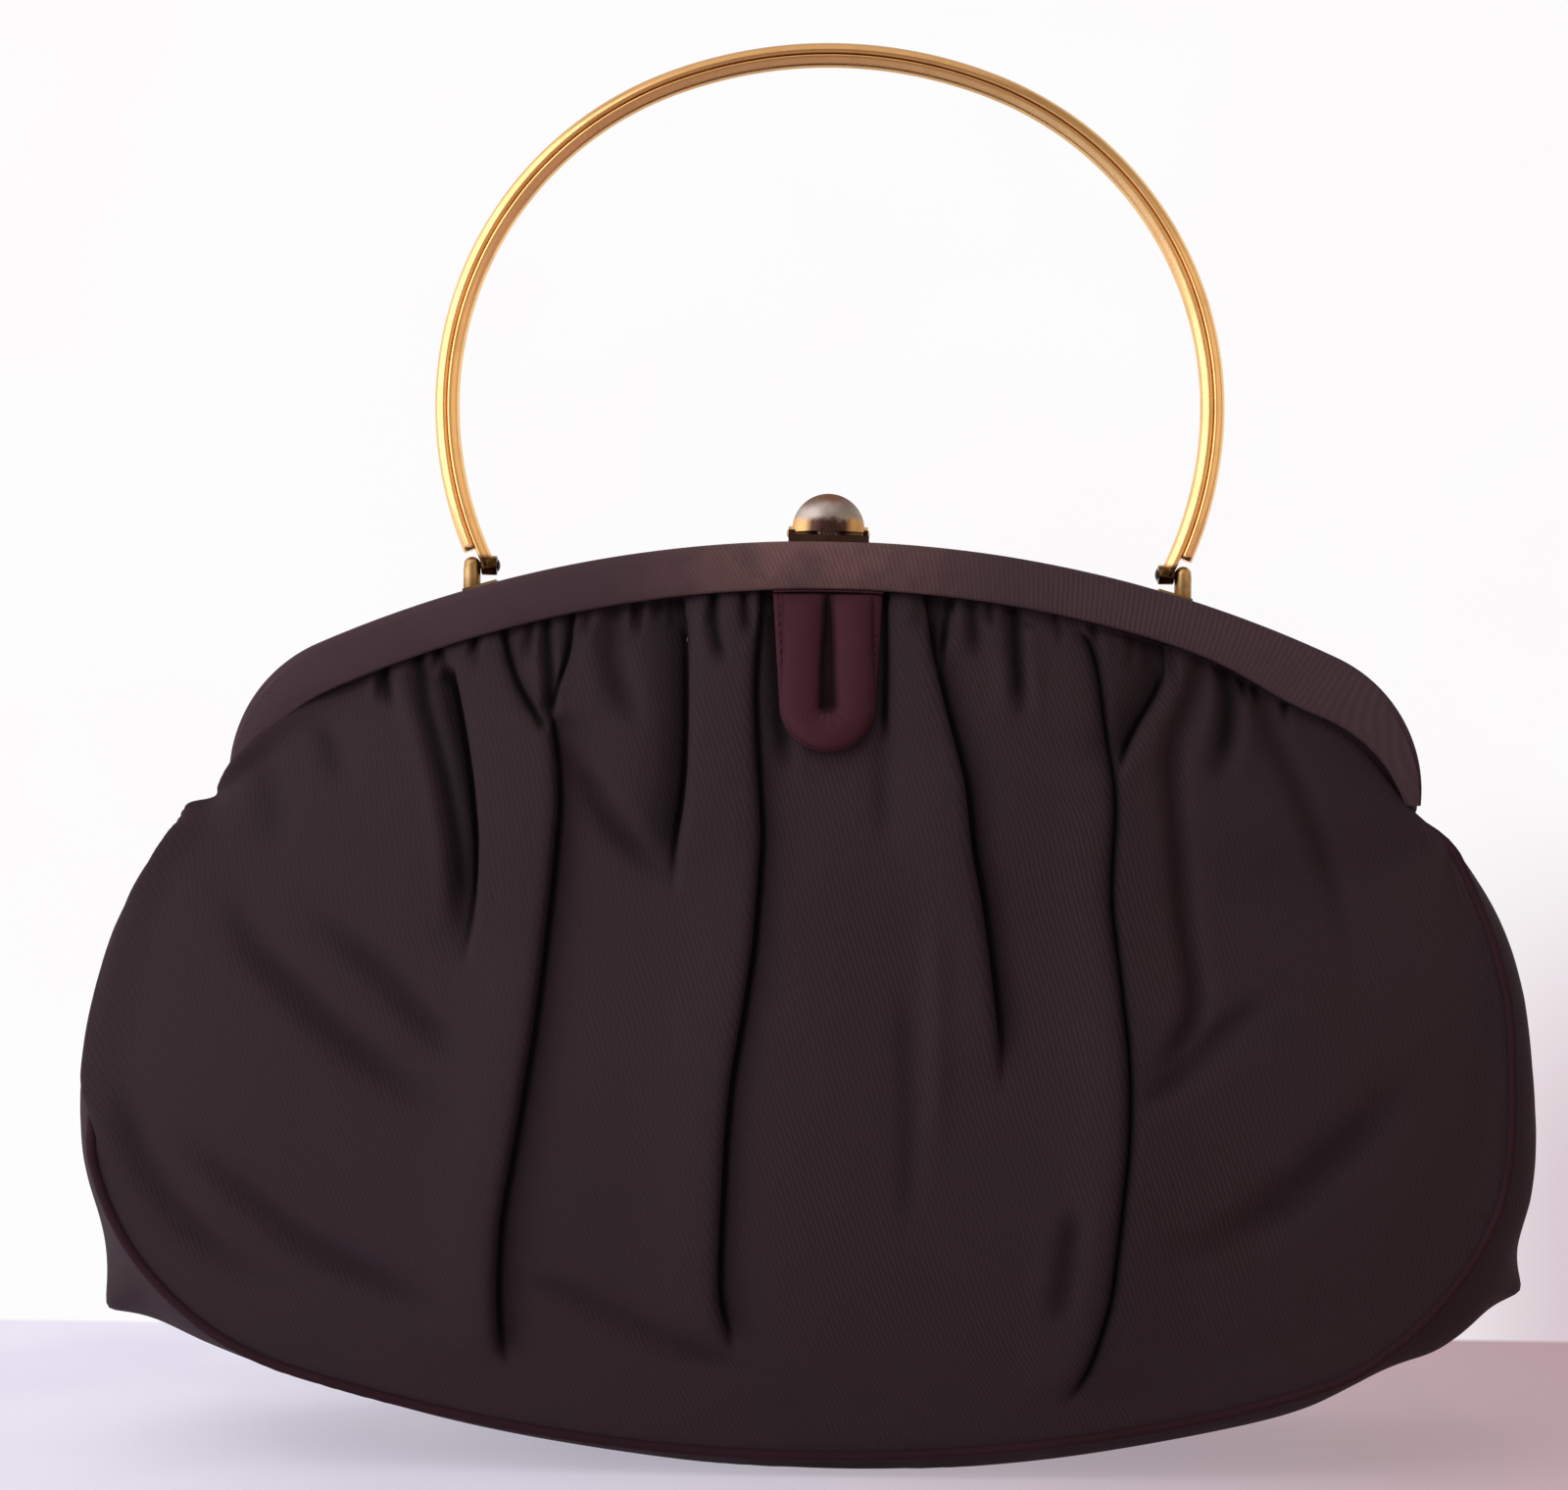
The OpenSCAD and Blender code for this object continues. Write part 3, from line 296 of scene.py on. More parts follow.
    def drift(self, x, z, front):
        """How far the worn cloth has moved sideways: front is 1 on the front and 0 on the back."""
        heights, left, right = np.array(FRONT_DRIFT, float).T
        share = np.clip(x / self.seam_w / 2 + 0.5, 0, 1)
        ahead = np.interp(z, heights, left) * (1 - share) + np.interp(z, heights, right) * share
        behind = self.c.back_swell * hump(z, *BACK_SWELL_PLACE) * (2 * share - 1)
        return ahead * front + behind * (1 - front)

    def body(self, u, t, inset, hem):
        """The smooth body: u across from -1 to 1, t up from the seam to the band.
        Gives x, z and the depth."""
        c = self.c
        low_x, low_z = self.seam(inset, u)
        seam_z = self.seam(0, u)[1]
        mid_x = u * (self.side_x - inset * 0.4)
        mid_z = c.split_mid_z + (self.seam_top - c.split_mid_z) * u**2
        mid_d = c.seam_top_d + (c.split_d - c.seam_top_d) * (1 - u**2)
        top_x, top_z = self.band_line(CLOTH_TOP, u)
        v, w = np.clip(t / SPLIT, 0, 1), np.clip((t - SPLIT) / (1 - SPLIT), 0, 1)
        low = t < SPLIT
        x = np.where(low, low_x + (mid_x - low_x) * v, mid_x + (top_x - mid_x) * w)
        z = np.where(low, low_z + (mid_z - low_z) * v, mid_z + (top_z - mid_z) * w)
        swell = c.puff * np.sin(np.pi * v) * (1 - u**2)
        below = self.seam_depth(seam_z) * (1 - v) + mid_d * v + swell
        above = hem + (mid_d - hem) * (1 - w**CURVE_IN)
        return x, z, np.where(low, below, above)


# Where cloth ends, in millimetres up from the band's lower edge: the outer cloth
# as it shows, its hem, and the lining's hem
CLOTH_TOP = -0.4
HEM_TOP = 1.8
LINING_HEM_TOP = 1.6
# How far the panels and the lining stand in from the seams, and the depth at
# which the lining enters the frame
PANEL_INSET = 0.7
LINING_INSET = 5.2
LINING_TOP_D = 1.85
# Share of the way up at which the body is fullest, and how it curves on from
# there to the frame
SPLIT = 0.55
CURVE_IN = 1.9
# How far the band's cover hangs lower on the right shoulder, and the place and
# width of that sag
COVER_SAG = 2.6
SAG_PLACE = (94, 15)
# Height and width of the back's swell past its seam
BACK_SWELL_PLACE = (106, 14)
# How far the front's left seam is drawn back and in, how far the panel swells
# out over it, and how far its top corner puffs out over the band's end
TUCK_BACK = 3.0
TUCK_IN = 1.3
SWELL_OVER = 3.6
LAP_OVER = 2.6
# How far the worn front has moved sideways from the cut seam, at its left and
# its right edge, for heights from the ground up
FRONT_DRIFT = [
    (0, 0, 0), (12, -0.3, -0.2), (17, -0.5, -1.5), (24, -1.6, -4.2), (31, -2.4, -4.6), (41, -3.6, -4.0),
    (50, -4.3, -3.3), (60, -5.0, -3.2), (67, -5.8, -3.0), (75, -6.0, -2.3), (88, -6.1, -0.5), (96, -6.4, 0.1),
    (103, -6.4, 0.5), (110, -5.6, 0.8), (118, -4.2, 1.6), (122, -3.6, 1.6), (125, -2.8, 0.8), (131, -1.4, 0),
]
# Folds of the front cloth: kind, outward side, ridge, floor, soft width, fade
# at the top and at the bottom, and the line as (x, z) from the top down. A lap
# has one cloth layer rolled over the next: its raised side is -1 left or 1
# right. A crease has rolls on both sides. A dip is a soft valley.
FRONT_FOLDS = [
    ("lap", -1, 1.7, 2.3, 5.0, 4, 8, [(-51.9, 140.5), (-51.8, 136.1), (-50.7, 131.7), (-49.9, 123.2),
     (-50.5, 111.8), (-51.5, 101.1), (-52.4, 90.5), (-53.3, 81.7), (-56.2, 62.0), (-58.8, 47.1),
     (-59.4, 33.9), (-58.9, 23.6), (-56.4, 19.0)]),
    ("dip", 0, 0, 1.6, 1.1, 0, 6, [(-53.9, 156.7), (-52.1, 144.6), (-52.0, 136.1)]),
    ("lap", -1, 0.9, 1.6, 2.5, 0, 3, [(-62.5, 155.1), (-60.9, 149.2), (-59.0, 144.5), (-55.9, 139.9),
     (-52.4, 135.2)]),
    ("lap", 1, 0.9, 1.5, 2.5, 0, 5, [(-48.5, 158.7), (-48.4, 151.2), (-50.6, 143.7), (-51.9, 137.2)]),
    ("lap", 1, 1.7, 3.5, 5.0, 3, 20, [(-71.3, 148.5), (-69.3, 142.5), (-67.4, 135.1), (-65.5, 126.0),
     (-64.2, 116.3), (-64.1, 107.9), (-64.9, 99.0), (-66.1, 90.0)]),
    ("dip", 0, 0, 1.6, 1.6, 0, 12, [(-78.2, 150.0), (-76.4, 141.5), (-73.0, 132.3), (-70.3, 123.7),
     (-68.4, 115.1), (-67.1, 106.1), (-66.6, 97.2)]),
    ("dip", 0, 0, 1.2, 1.0, 0, 5, [(-74.1, 151.0), (-72.4, 147.2), (-70.7, 143.4)]),
    ("dip", 0, 0, 1.6, 1.1, 0, 5, [(-84.9, 147.3), (-83.9, 143.3), (-82.5, 139.0)]),
    ("dip", 0, 0, 1.6, 1.0, 0, 4, [(-67.6, 153.5), (-67.9, 148.6)]),
    ("dip", 0, 0, 1.9, 2.4, 0, 10, [(-40.9, 159.7), (-41.0, 151.2), (-38.3, 142.6), (-34.0, 135.0)]),
    ("dip", 0, 0, 1.0, 0.9, 0, 5, [(-35.8, 160.8), (-36.2, 152.4)]),
    ("dip", 0, 0, 1.2, 0.9, 0, 4, [(-32.6, 161.7), (-32.1, 156.5)]),
    ("lap", 1, 1.6, 3.2, 5.2, 0, 16, [(-28.1, 162.4), (-26.6, 157.7), (-26.0, 147.1), (-25.7, 137.5),
     (-25.7, 129.3), (-26.2, 122.7), (-27.5, 114.0), (-27.4, 104.8)]),
    ("dip", 0, 0, 1.7, 1.1, 0, 5, [(-21.7, 161.9), (-21.7, 156.3), (-20.7, 152.5), (-18.9, 148.0)]),
    ("dip", 0, 0, 1.3, 0.9, 0, 5, [(-16.1, 162.5), (-15.2, 153.3)]),
    ("lap", -1, 1.4, 2.1, 4.0, 0, 8, [(-12.7, 163.3), (-13.5, 154.6), (-14.0, 146.9), (-13.9, 141.3),
     (-13.1, 128.6), (-12.2, 117.9), (-12.5, 112.0), (-13.4, 97.5), (-15.3, 84.1), (-17.1, 73.6),
     (-18.0, 63.1), (-18.6, 47.9), (-19.0, 34.8), (-17.9, 29.1), (-15.3, 22.6)]),
    ("dip", 0, 0, 1.4, 1.6, 0, 9, [(-10.3, 158.4), (-9.4, 145.1), (-8.6, 137.7), (-7.4, 126.7)]),
    ("lap", 1, 1.0, 1.9, 2.0, 0, 9, [(11.6, 163.3), (11.6, 148.8), (11.4, 141.7), (11.0, 132.4)]),
    ("dip", 0, 0, 0.9, 2.2, 6, 12, [(10.2, 138.6), (10.6, 131.6), (11.1, 112.4)]),
    ("lap", -1, 1.8, 2.7, 3.6, 0, 16, [(18.5, 163.4), (19.6, 152.3), (21.3, 144.4), (23.0, 137.3),
     (25.5, 127.9), (26.7, 115.3), (28.7, 105.4), (30.2, 95.2), (31.6, 83.0), (32.7, 70.1)]),
    ("lap", 1, 0.7, 1.4, 2.0, 0, 6, [(23.7, 162.3), (22.8, 155.0), (21.3, 147.4)]),
    ("dip", 0, 0, 1.2, 1.4, 0, 6, [(27.7, 162.0), (28.1, 149.3)]),
    ("dip", 0, 0, 1.2, 0.9, 0, 4, [(30.9, 161.7), (31.1, 155.8)]),
    ("dip", 0, 0, 1.9, 1.4, 0, 10, [(35.8, 160.6), (36.0, 149.2), (36.5, 137.3)]),
    ("crease", 0, 1.2, 2.0, 1.0, 3, 8, [(47.9, 157.4), (50.2, 154.6), (51.4, 147.9), (52.2, 137.7),
     (53.4, 129.5), (53.7, 122.8), (52.9, 113.3), (52.7, 105.5), (53.9, 95.8), (55.7, 79.5), (56.0, 71.4),
     (55.8, 62.1), (54.7, 50.6), (52.9, 33.3), (49.4, 20.9), (44.6, 13.0)]),
    ("lap", 1, 1.2, 2.8, 6.0, 0, 8, [(64.4, 153.9), (65.2, 148.2), (62.7, 144.0), (60.0, 140.4),
     (56.5, 134.7), (54.3, 127.6)]),
    ("dip", 0, 0, 2.0, 2.3, 0, 12, [(72.1, 151.8), (69.3, 143.4), (65.6, 137.0), (64.4, 131.5),
     (64.9, 124.2), (65.5, 116.3), (66.5, 101.7), (68.5, 90.2), (67.9, 84.1), (64.3, 78.8), (58.7, 72.7)]),
    ("dip", 0, 0, 1.8, 2.0, 0, 12, [(76.6, 151.1), (76.9, 142.7), (74.9, 133.8), (72.2, 125.9)]),
    ("dip", 0, 0, 1.6, 1.1, 0, 5, [(79.6, 149.6), (79.9, 141.9)]),
    ("dip", 0, 0, 1.5, 2.6, 0, 30, [(82.4, 148.5), (84.4, 138.2), (88.1, 129.9), (93.3, 116.4),
     (96.3, 105.8), (98.3, 92.4)]),
    ("dip", 0, 0, 1.9, 3.4, 24, 16, [(-115.5, 112.0), (-104.0, 93.5), (-90.0, 81.0), (-75.0, 69.0),
     (-62.9, 61.0)]),
    ("dip", 0, 0, 1.2, 2.4, 6, 8, [(-96.5, 139.5), (-93.0, 131.0), (-90.0, 123.0)]),
    ("dip", 0, 0, 1.0, 3.6, 8, 12, [(-107.5, 133.5), (-104.0, 122.0), (-103.0, 110.0)]),
    ("dip", 0, 0, 1.6, 3.2, 16, 14, [(-130.0, 74.0), (-129.0, 66.0), (-125.0, 56.0), (-117.7, 46.3),
     (-106.0, 36.0), (-92.0, 29.5)]),
    ("dip", 0, 0, 1.6, 3.0, 16, 12, [(-119.0, 65.0), (-112.0, 57.0), (-103.0, 49.0), (-94.0, 41.9),
     (-80.0, 35.2), (-62.0, 26.1)]),
    ("dip", 0, 0, 2.2, 2.6, 8, 10, [(-49.2, 134.6), (-42.3, 123.0), (-34.8, 113.9), (-26.4, 106.8)]),
    ("dip", 0, 0, 1.7, 4.2, 20, 14, [(112.0, 80.0), (103.0, 69.0), (92.0, 58.0), (79.0, 47.5),
     (62.4, 36.7)]),
    ("dip", 0, 0, 1.5, 3.0, 10, 8, [(84.0, 92.0), (78.6, 87.3), (66.2, 76.2), (56.9, 66.0)]),
    ("dip", 0, 0, 0.8, 2.5, 12, 14, [(15.0, 92.8), (16.0, 67.1), (15.9, 42.4)]),
    ("dip", 0, 0, 0.8, 2.0, 7, 8, [(45.6, 52.6), (44.5, 38.9), (42.6, 27.2)]),
    ("dip", 0, 0, 1.3, 3.0, 5, 5, [(-55.9, 39.2), (-34.9, 28.8), (-11.7, 18.3)]),
    ("dip", 0, 0, 1.6, 3.0, 14, 8, [(-96.5, 106.0), (-92.5, 101.0), (-82.0, 92.0), (-73.0, 83.0),
     (-66.4, 74.2)]),
    ("dip", 0, 0, -0.7, 2.2, 10, 18, [(20.1, 104.7), (20.7, 82.9), (21.0, 55.6)]),
]
# Small gathers between the folds: where they may start along the band
FRONT_GATHERS = (-92, 84)
BACK_FOLDS = [
    ("lap", 1, 1.3, 2.0, 4.5, 0, 18, [(-78.0, 150.0), (-76.0, 120.0), (-77.0, 78.0)]),
    ("lap", -1, 1.4, 2.1, 4.5, 0, 12, [(-50.0, 158.0), (-51.0, 110.0), (-55.0, 60.0), (-55.5, 24.0)]),
    ("dip", 0, 0, 1.8, 1.8, 0, 16, [(-38.0, 160.0), (-37.0, 128.0), (-35.0, 104.0)]),
    ("lap", 1, 1.3, 2.0, 4.0, 0, 18, [(-23.0, 162.4), (-24.0, 120.0), (-26.0, 66.0)]),
    ("dip", 0, 0, 1.6, 1.5, 0, 14, [(-9.0, 163.0), (-9.5, 140.0), (-11.0, 118.0)]),
    ("crease", 0, 1.1, 1.9, 1.0, 0, 10, [(5.0, 163.2), (5.5, 120.0), (7.0, 70.0), (6.0, 26.0)]),
    ("dip", 0, 0, 1.5, 1.6, 0, 14, [(19.0, 162.6), (20.0, 140.0), (20.0, 122.0)]),
    ("lap", -1, 1.4, 2.1, 4.5, 0, 20, [(33.0, 161.0), (34.0, 120.0), (36.5, 72.0)]),
    ("dip", 0, 0, 1.5, 1.8, 0, 14, [(47.0, 158.0), (49.0, 134.0), (50.0, 112.0)]),
    ("crease", 0, 1.0, 1.8, 1.0, 0, 10, [(60.0, 155.6), (61.0, 118.0), (64.0, 60.0), (62.0, 28.0)]),
    ("dip", 0, 0, 1.6, 1.6, 0, 16, [(72.0, 152.0), (74.0, 130.0), (76.0, 108.0)]),
    ("lap", 1, 1.1, 1.7, 4.0, 0, 18, [(84.0, 147.0), (88.0, 120.0), (91.0, 84.0)]),
    ("dip", 0, 0, 0.9, 4.5, 12, 14, [(-110.0, 100.0), (-96.0, 86.0), (-80.0, 66.0)]),
    ("dip", 0, 0, 0.8, 4.5, 10, 10, [(112.0, 84.0), (98.0, 62.0), (82.0, 46.0)]),
    ("dip", 0, 0, 0.8, 4.0, 8, 8, [(-40.0, 52.0), (-24.0, 40.0), (-6.0, 32.0)]),
    ("dip", 0, 0, 0.8, 4.0, 8, 8, [(46.0, 46.0), (30.0, 34.0), (12.0, 26.0)]),
]
BACK_GATHERS = (-92, 92)
# Deepest fold that the lining leaves room for, highest ridge, width of a lap's
# rolled edge and depth of the crack beside it
DEEPEST = 4.6
HIGHEST = 2.8
ROLL = 2.4
CRACK = 1.3
# A dip narrower than this is a sharp gather
SHARP = 2.1
# Ranges of the small gathers: distance apart, length, lean, depth and width
GATHER_STEP = (6.0, 11.0)
GATHER_RUN = (5, 11)
GATHER_LEAN = (-0.12, 0.12)
GATHER_FLOOR = (0.6, 1.25)
GATHER_SOFT = (0.7, 1.2)
# Number of waves in a ripple
WAVES = 9


def rolled(q):
    """Rise of a rolled edge, a quarter of a round, at a distance from its foot."""
    return np.sqrt(np.clip(1 - (1 - np.clip(q / ROLL, 0, 1)) ** 2, 0, 1))


class Fold:
    """One fold: its line, and what it does to the cloth at a place."""

    def __init__(self, kind, side, ridge, floor, soft, top_fade, low_fade, line):
        self.kind, self.side, self.ridge, self.floor, self.soft = kind, side, ridge, floor, soft
        points = np.array(line)[::-1]
        self.low_z, self.top_z = points[0, 1], points[-1, 1]
        self.top_fade, self.low_fade = top_fade, low_fade
        self.z = np.arange(self.low_z - 1, self.top_z + 1, 0.5)
        self.x = blurred(np.interp(self.z, points[:, 1], points[:, 0]), min(5.0, len(self.z) / 8))
        self.slope = np.gradient(self.x, self.z)

    def place(self, x, z):
        """Signed distance from the line, and the fold's strength there."""
        lean = np.interp(z, self.z, self.slope)
        s = (x - np.interp(z, self.z, self.x)) / np.sqrt(1 + lean**2)
        strength = smoothstep(self.low_z, self.low_z + self.low_fade, z)
        if self.top_fade:
            strength = strength * (1 - smoothstep(self.top_z - self.top_fade, self.top_z, z))
        return s, strength

    def shape(self, s):
        """At a distance from the line: the cloth's height, its sideways roll and the shade painted into its
        colour.
        """
        if self.kind == "dip":
            bell = hump(s, 0, self.soft)
            if self.soft >= SHARP:
                return -self.floor * bell, 0 * s, bell * max(0, self.floor) * 0.24
            # A gather: a sharp groove between two puffed sides
            puff = hump(np.abs(s), 2.1 * self.soft, 1.1 * self.soft)
            return self.floor * (0.35 * puff - bell), 0 * s, bell * min(1.0, self.floor / 1.35)
        if self.kind == "crease":
            q = np.abs(s)
            rise = rolled(q)
            height = self.ridge * rise * hump(np.maximum(q - ROLL, 0), 0, 7) - self.floor * (1 - rise)
            roll = -0.3 * np.sign(s) * hump(q, 0.9, 0.8)
            return height, roll, hump(q, 0, 1.1) + 0.35 * hump(q, 0, 3)
        q = self.side * s
        rise = rolled(q)
        crown = self.ridge * rise * hump(np.maximum(q - ROLL, 0), 0, 8)
        below = np.minimum(q, 0)
        low = np.where(q < 0, np.exp(below / self.soft), 1 - rise)
        crack = CRACK * hump(q, -0.4, 0.6)
        # Painted shade of a lap: darkest in the crack, fading out on the low side beside the roll
        shaded = min(1, self.floor / 3.4) ** 1.3 * hump(below, 0, 1.15 * self.soft)
        hollow = np.where(q < 0, np.maximum(hump(below, 0, 1.4), shaded), (1 - rise) ** 0.7)
        return crown - self.floor * low - crack, -0.6 * self.side * hump(q, 1.0, 0.9), hollow

    def wanted(self, s):
        """How much finer than usual the cloth's columns stand near the line."""
        return {"dip": 1.2 / max(self.soft, 1), "lap": 3.2, "crease": 3.2}[self.kind] * hump(s, 0, 2.6)


def small_gathers(span, seed):
    """Short random gathers under the band, between two places."""
    rng = np.random.default_rng(seed)
    folds, x = [], span[0]
    while x < span[1]:
        x += rng.uniform(*GATHER_STEP)
        top = 164 - 0.0024 * x * x
        run, lean = rng.uniform(*GATHER_RUN), rng.uniform(*GATHER_LEAN)
        floor, soft = rng.uniform(*GATHER_FLOOR), rng.uniform(*GATHER_SOFT)
        line = [(x, top), (x + lean * run, top - run)]
        folds.append(("dip", 0, 0, floor, soft, 0, run * 0.8, line))
    return folds


def ripple(x, z, seed, size, strength):
    """Slow seeded unevenness of a cloth, as a sum of waves."""
    rng = np.random.default_rng(seed)
    total = 0
    for _ in range(WAVES):
        a, k, p = rng.uniform(0, 2 * np.pi), rng.uniform(0.5, 1.6) * 2 * np.pi / size, rng.uniform(0, 2 * np.pi)
        total = total + np.sin(k * (x * np.cos(a) + z * np.sin(a)) + p)
    return strength * total / math.sqrt(WAVES)


# Steps along the seam, and columns and rows of the gusset and of the linings
SEAM_STEPS = 361
GUSSET_GRID = (420, 60)
GUSSET_LINING_GRID = (200, 24)
LINING_GRID = (150, 90)
# Steps across a panel before its columns are chosen, and share of its rows over
# which its surface is softened
FINE_STEPS = 721
SOFTENED = 0.045


def panel_points(shape, side, folds, seed, columns, rows):
    """Points and flat places of a whole front (side -1) or back (side 1) cloth."""
    c = shape.c
    u0 = np.linspace(-1, 1, FINE_STEPS)
    t0 = np.concatenate([np.linspace(0, 0.06, 10)[:-1], np.linspace(0.06, 1, rows - 9)])
    u, t = np.meshgrid(u0, t0)
    x, z, depth = shape.body(u, t, PANEL_INSET, c.hem_d)
    even = depth[:1] + (depth[-1:] - depth[:1]) * t
    soft = rows * SOFTENED
    depth = even + blurred(depth - even, soft)
    x, z = blurred(x, soft), blurred(z, soft)
    folds = [Fold(*fold) for fold in folds]
    front = 1 if side < 0 else 0
    density = np.ones_like(x)
    for fold in folds:
        s, strength = fold.place(x + shape.drift(x, z, front), z)
        density += strength * fold.wanted(s)
    spread = np.cumsum(density, axis=1)
    spread = (spread - spread[:, :1]) / (spread[:, -1:] - spread[:, :1])
    spread = blurred(spread, 2.0)
    even_steps = np.linspace(0, 1, columns + 1)
    chosen = np.stack([np.interp(even_steps, row, u0) for row in spread])

    def pick(grid):
        return np.stack([np.interp(wanted, u0, row) for wanted, row in zip(chosen, grid, strict=True)])

    x, z, depth, t = pick(x), pick(z), pick(depth), np.repeat(t0[:, None], columns + 1, 1)
    flat = np.stack([x, z], -1)
    x = x + shape.drift(x, z, front)
    x, z, depth = swollen_over_seam(shape, x, z, depth, front)
    height, roll, hollow = np.zeros_like(x), np.zeros_like(x), np.zeros_like(x)
    for fold in folds:
        s, strength = fold.place(x, z)
        up, aside, shaded = fold.shape(s)
        height += strength * up
        roll += strength * aside
        # The folds' painted shade, kept for the cloth's colour
        hollow = np.maximum(hollow, strength * shaded)
    height += ripple(x, z, seed, size=60, strength=0.5) * smoothstep(0, 0.15, t)
    height = np.where(height > 0, HIGHEST * np.tanh(height / HIGHEST), DEEPEST * np.tanh(height / DEEPEST))
    edge_x, edge_z = shape.band_line(CLOTH_TOP, chosen)
    below = np.hypot(x - edge_x, z - edge_z)
    at_edge = smoothstep(0, 4, below)
    if front:
        x, z, depth = lapped_over_band(edge_x, edge_z, below, x, z, depth)
    deepest = -1.5 - 3.1 * smoothstep(1, 14, below)
    height = np.where(height > 0, height * (0.3 + 0.7 * at_edge), np.maximum(height, deepest))
    near_seam = smoothstep(0, 0.05, t) * smoothstep(1, 0.97, np.abs(chosen))
    height, roll = height * near_seam * c.fold_scale, roll * near_seam * at_edge * c.fold_scale
    points = np.stack([x + roll, side * (depth + height), z], -1)
    return points, flat, np.clip(hollow * near_seam, 0, 1)


def swollen_over_seam(shape, x, z, depth, front):
    """The worn front's panel, rolled out over its left seam."""
    along_x, along_z = np.gradient(x[0]), np.gradient(z[0])
    long = np.hypot(along_x, along_z)
    out_x, out_z = along_z / long, -along_x / long
    way = np.hypot(x - x[0], z - z[0])
    share = shape.tuck(x[0], z[0], front) * smoothstep(134, 112, z[0])
    roll = SWELL_OVER * hump(way, 3, 3.5) * smoothstep(0, 1.5, way)
    moved = share * (roll - TUCK_IN * hump(way, 0, 1.2))
    depth = depth - share * TUCK_BACK * hump(way, 0, 2.0)
    return x + out_x * moved, z + out_z * moved, depth


def lapped_over_band(edge_x, edge_z, below, x, z, depth):
    """The panel's top left corner, which puffs out over the end of the band."""
    along_x, along_z = np.gradient(edge_x, axis=1), np.gradient(edge_z, axis=1)
    long = np.hypot(along_x, along_z) + 1e-9
    at_corner = smoothstep(-88, -110, edge_x)
    puff = LAP_OVER * at_corner * smoothstep(-124.5, -116, edge_x) * hump(below, 2.0, 2.2)
    return x - along_z / long * puff, z + along_x / long * puff, depth + 0.75 * puff


def shade(obj, hollow):
    """Keeps the shade painted into the cloth's colour at each point, for its material: dark in the folds and
    creases.
    """
    layer = obj.data.attributes.new("hollow", "FLOAT", "POINT")
    layer.data.foreach_set("value", np.asarray(hollow, np.float32).ravel())


def front_view(points):
    """Places of points seen straight from the front, as a flat map."""
    return np.stack([points[..., 0], points[..., 2]], -1)


def grid_faces(rows, columns, wrap=False):
    """Corners of the squares between the points of a grid."""
    r = np.arange(rows - 1)[:, None]
    c = np.arange(columns if wrap else columns - 1)[None, :]
    n = (c + 1) % columns
    low, high = r * columns, (r + 1) * columns
    return np.stack([low + c, low + n, high + n, high + c], -1).reshape(-1, 4)


def grid_piece(name, points, uv=None, wrap=False, flip=False, caps=False):
    """A mesh through a grid of points in millimetres. Seen from outside, its columns
    run to the right and its rows up."""
    rows, columns = points.shape[:2]
    faces = grid_faces(rows, columns, wrap)
    order = [3, 2, 1, 0] if flip else [0, 1, 2, 3]
    polygons = faces[:, order].tolist()
    corners = None
    if uv is not None:
        wide = uv.shape[1]
        r = np.repeat(np.arange(rows - 1), len(faces) // (rows - 1))
        c = np.tile(np.arange(len(faces) // (rows - 1)), rows - 1)
        flat = uv.reshape(-1, 2)
        low, high = r * wide + c, (r + 1) * wide + c
        at = np.stack([low, low + 1, high + 1, high], -1)[:, order]
        corners = flat[at].reshape(-1, 2)
    if caps:
        low, high = list(range(columns)), list(range((rows - 1) * columns, rows * columns))
        ends = [high[::-1], low] if flip else [low[::-1], high]
        polygons += ends
        if corners is not None:
            corners = np.concatenate([corners] + [points.reshape(-1, 3)[e][:, [0, 2]] for e in ends])
    mesh = bpy.data.meshes.new(name)
    mesh.from_pydata((points.reshape(-1, 3) * MM).tolist(), [], polygons)
    if corners is not None:
        layer = mesh.uv_layers.new(name=UV_NAME)
        layer.data.foreach_set("uv", corners.astype(np.float32).ravel())
    mesh.shade_smooth()
    mesh.update()
    obj = bpy.data.objects.new(name, mesh)
    bpy.context.scene.collection.objects.link(obj)
    return obj


def tube_piece(name, path, radii, sides):
    """A closed round tube along a path, with a flat map in millimetres."""
    path = np.asarray(path, float)
    along = np.gradient(path, axis=0)
    along /= np.linalg.norm(along, axis=1)[:, None]
    side = np.cross(along, np.array([0.0, 1.0, 0.0]))
    side /= np.linalg.norm(side, axis=1)[:, None]
    other = np.cross(side, along)
    angle = 2 * np.pi * np.arange(sides) / sides
    ring = np.cos(angle)[None, :, None] * side[:, None] + np.sin(angle)[None, :, None] * other[:, None]
    points = path[:, None] + radii[:, None, None] * ring
    way = np.concatenate([[0], np.cumsum(np.linalg.norm(np.diff(path, axis=0), axis=1))])
    round_it = 2 * np.pi * radii.mean() * np.arange(sides + 1) / sides
    uv = np.stack(np.broadcast_arrays(round_it[None, :], way[:, None]), -1)
    return grid_piece(name, points, uv, wrap=True, caps=True, flip=True)


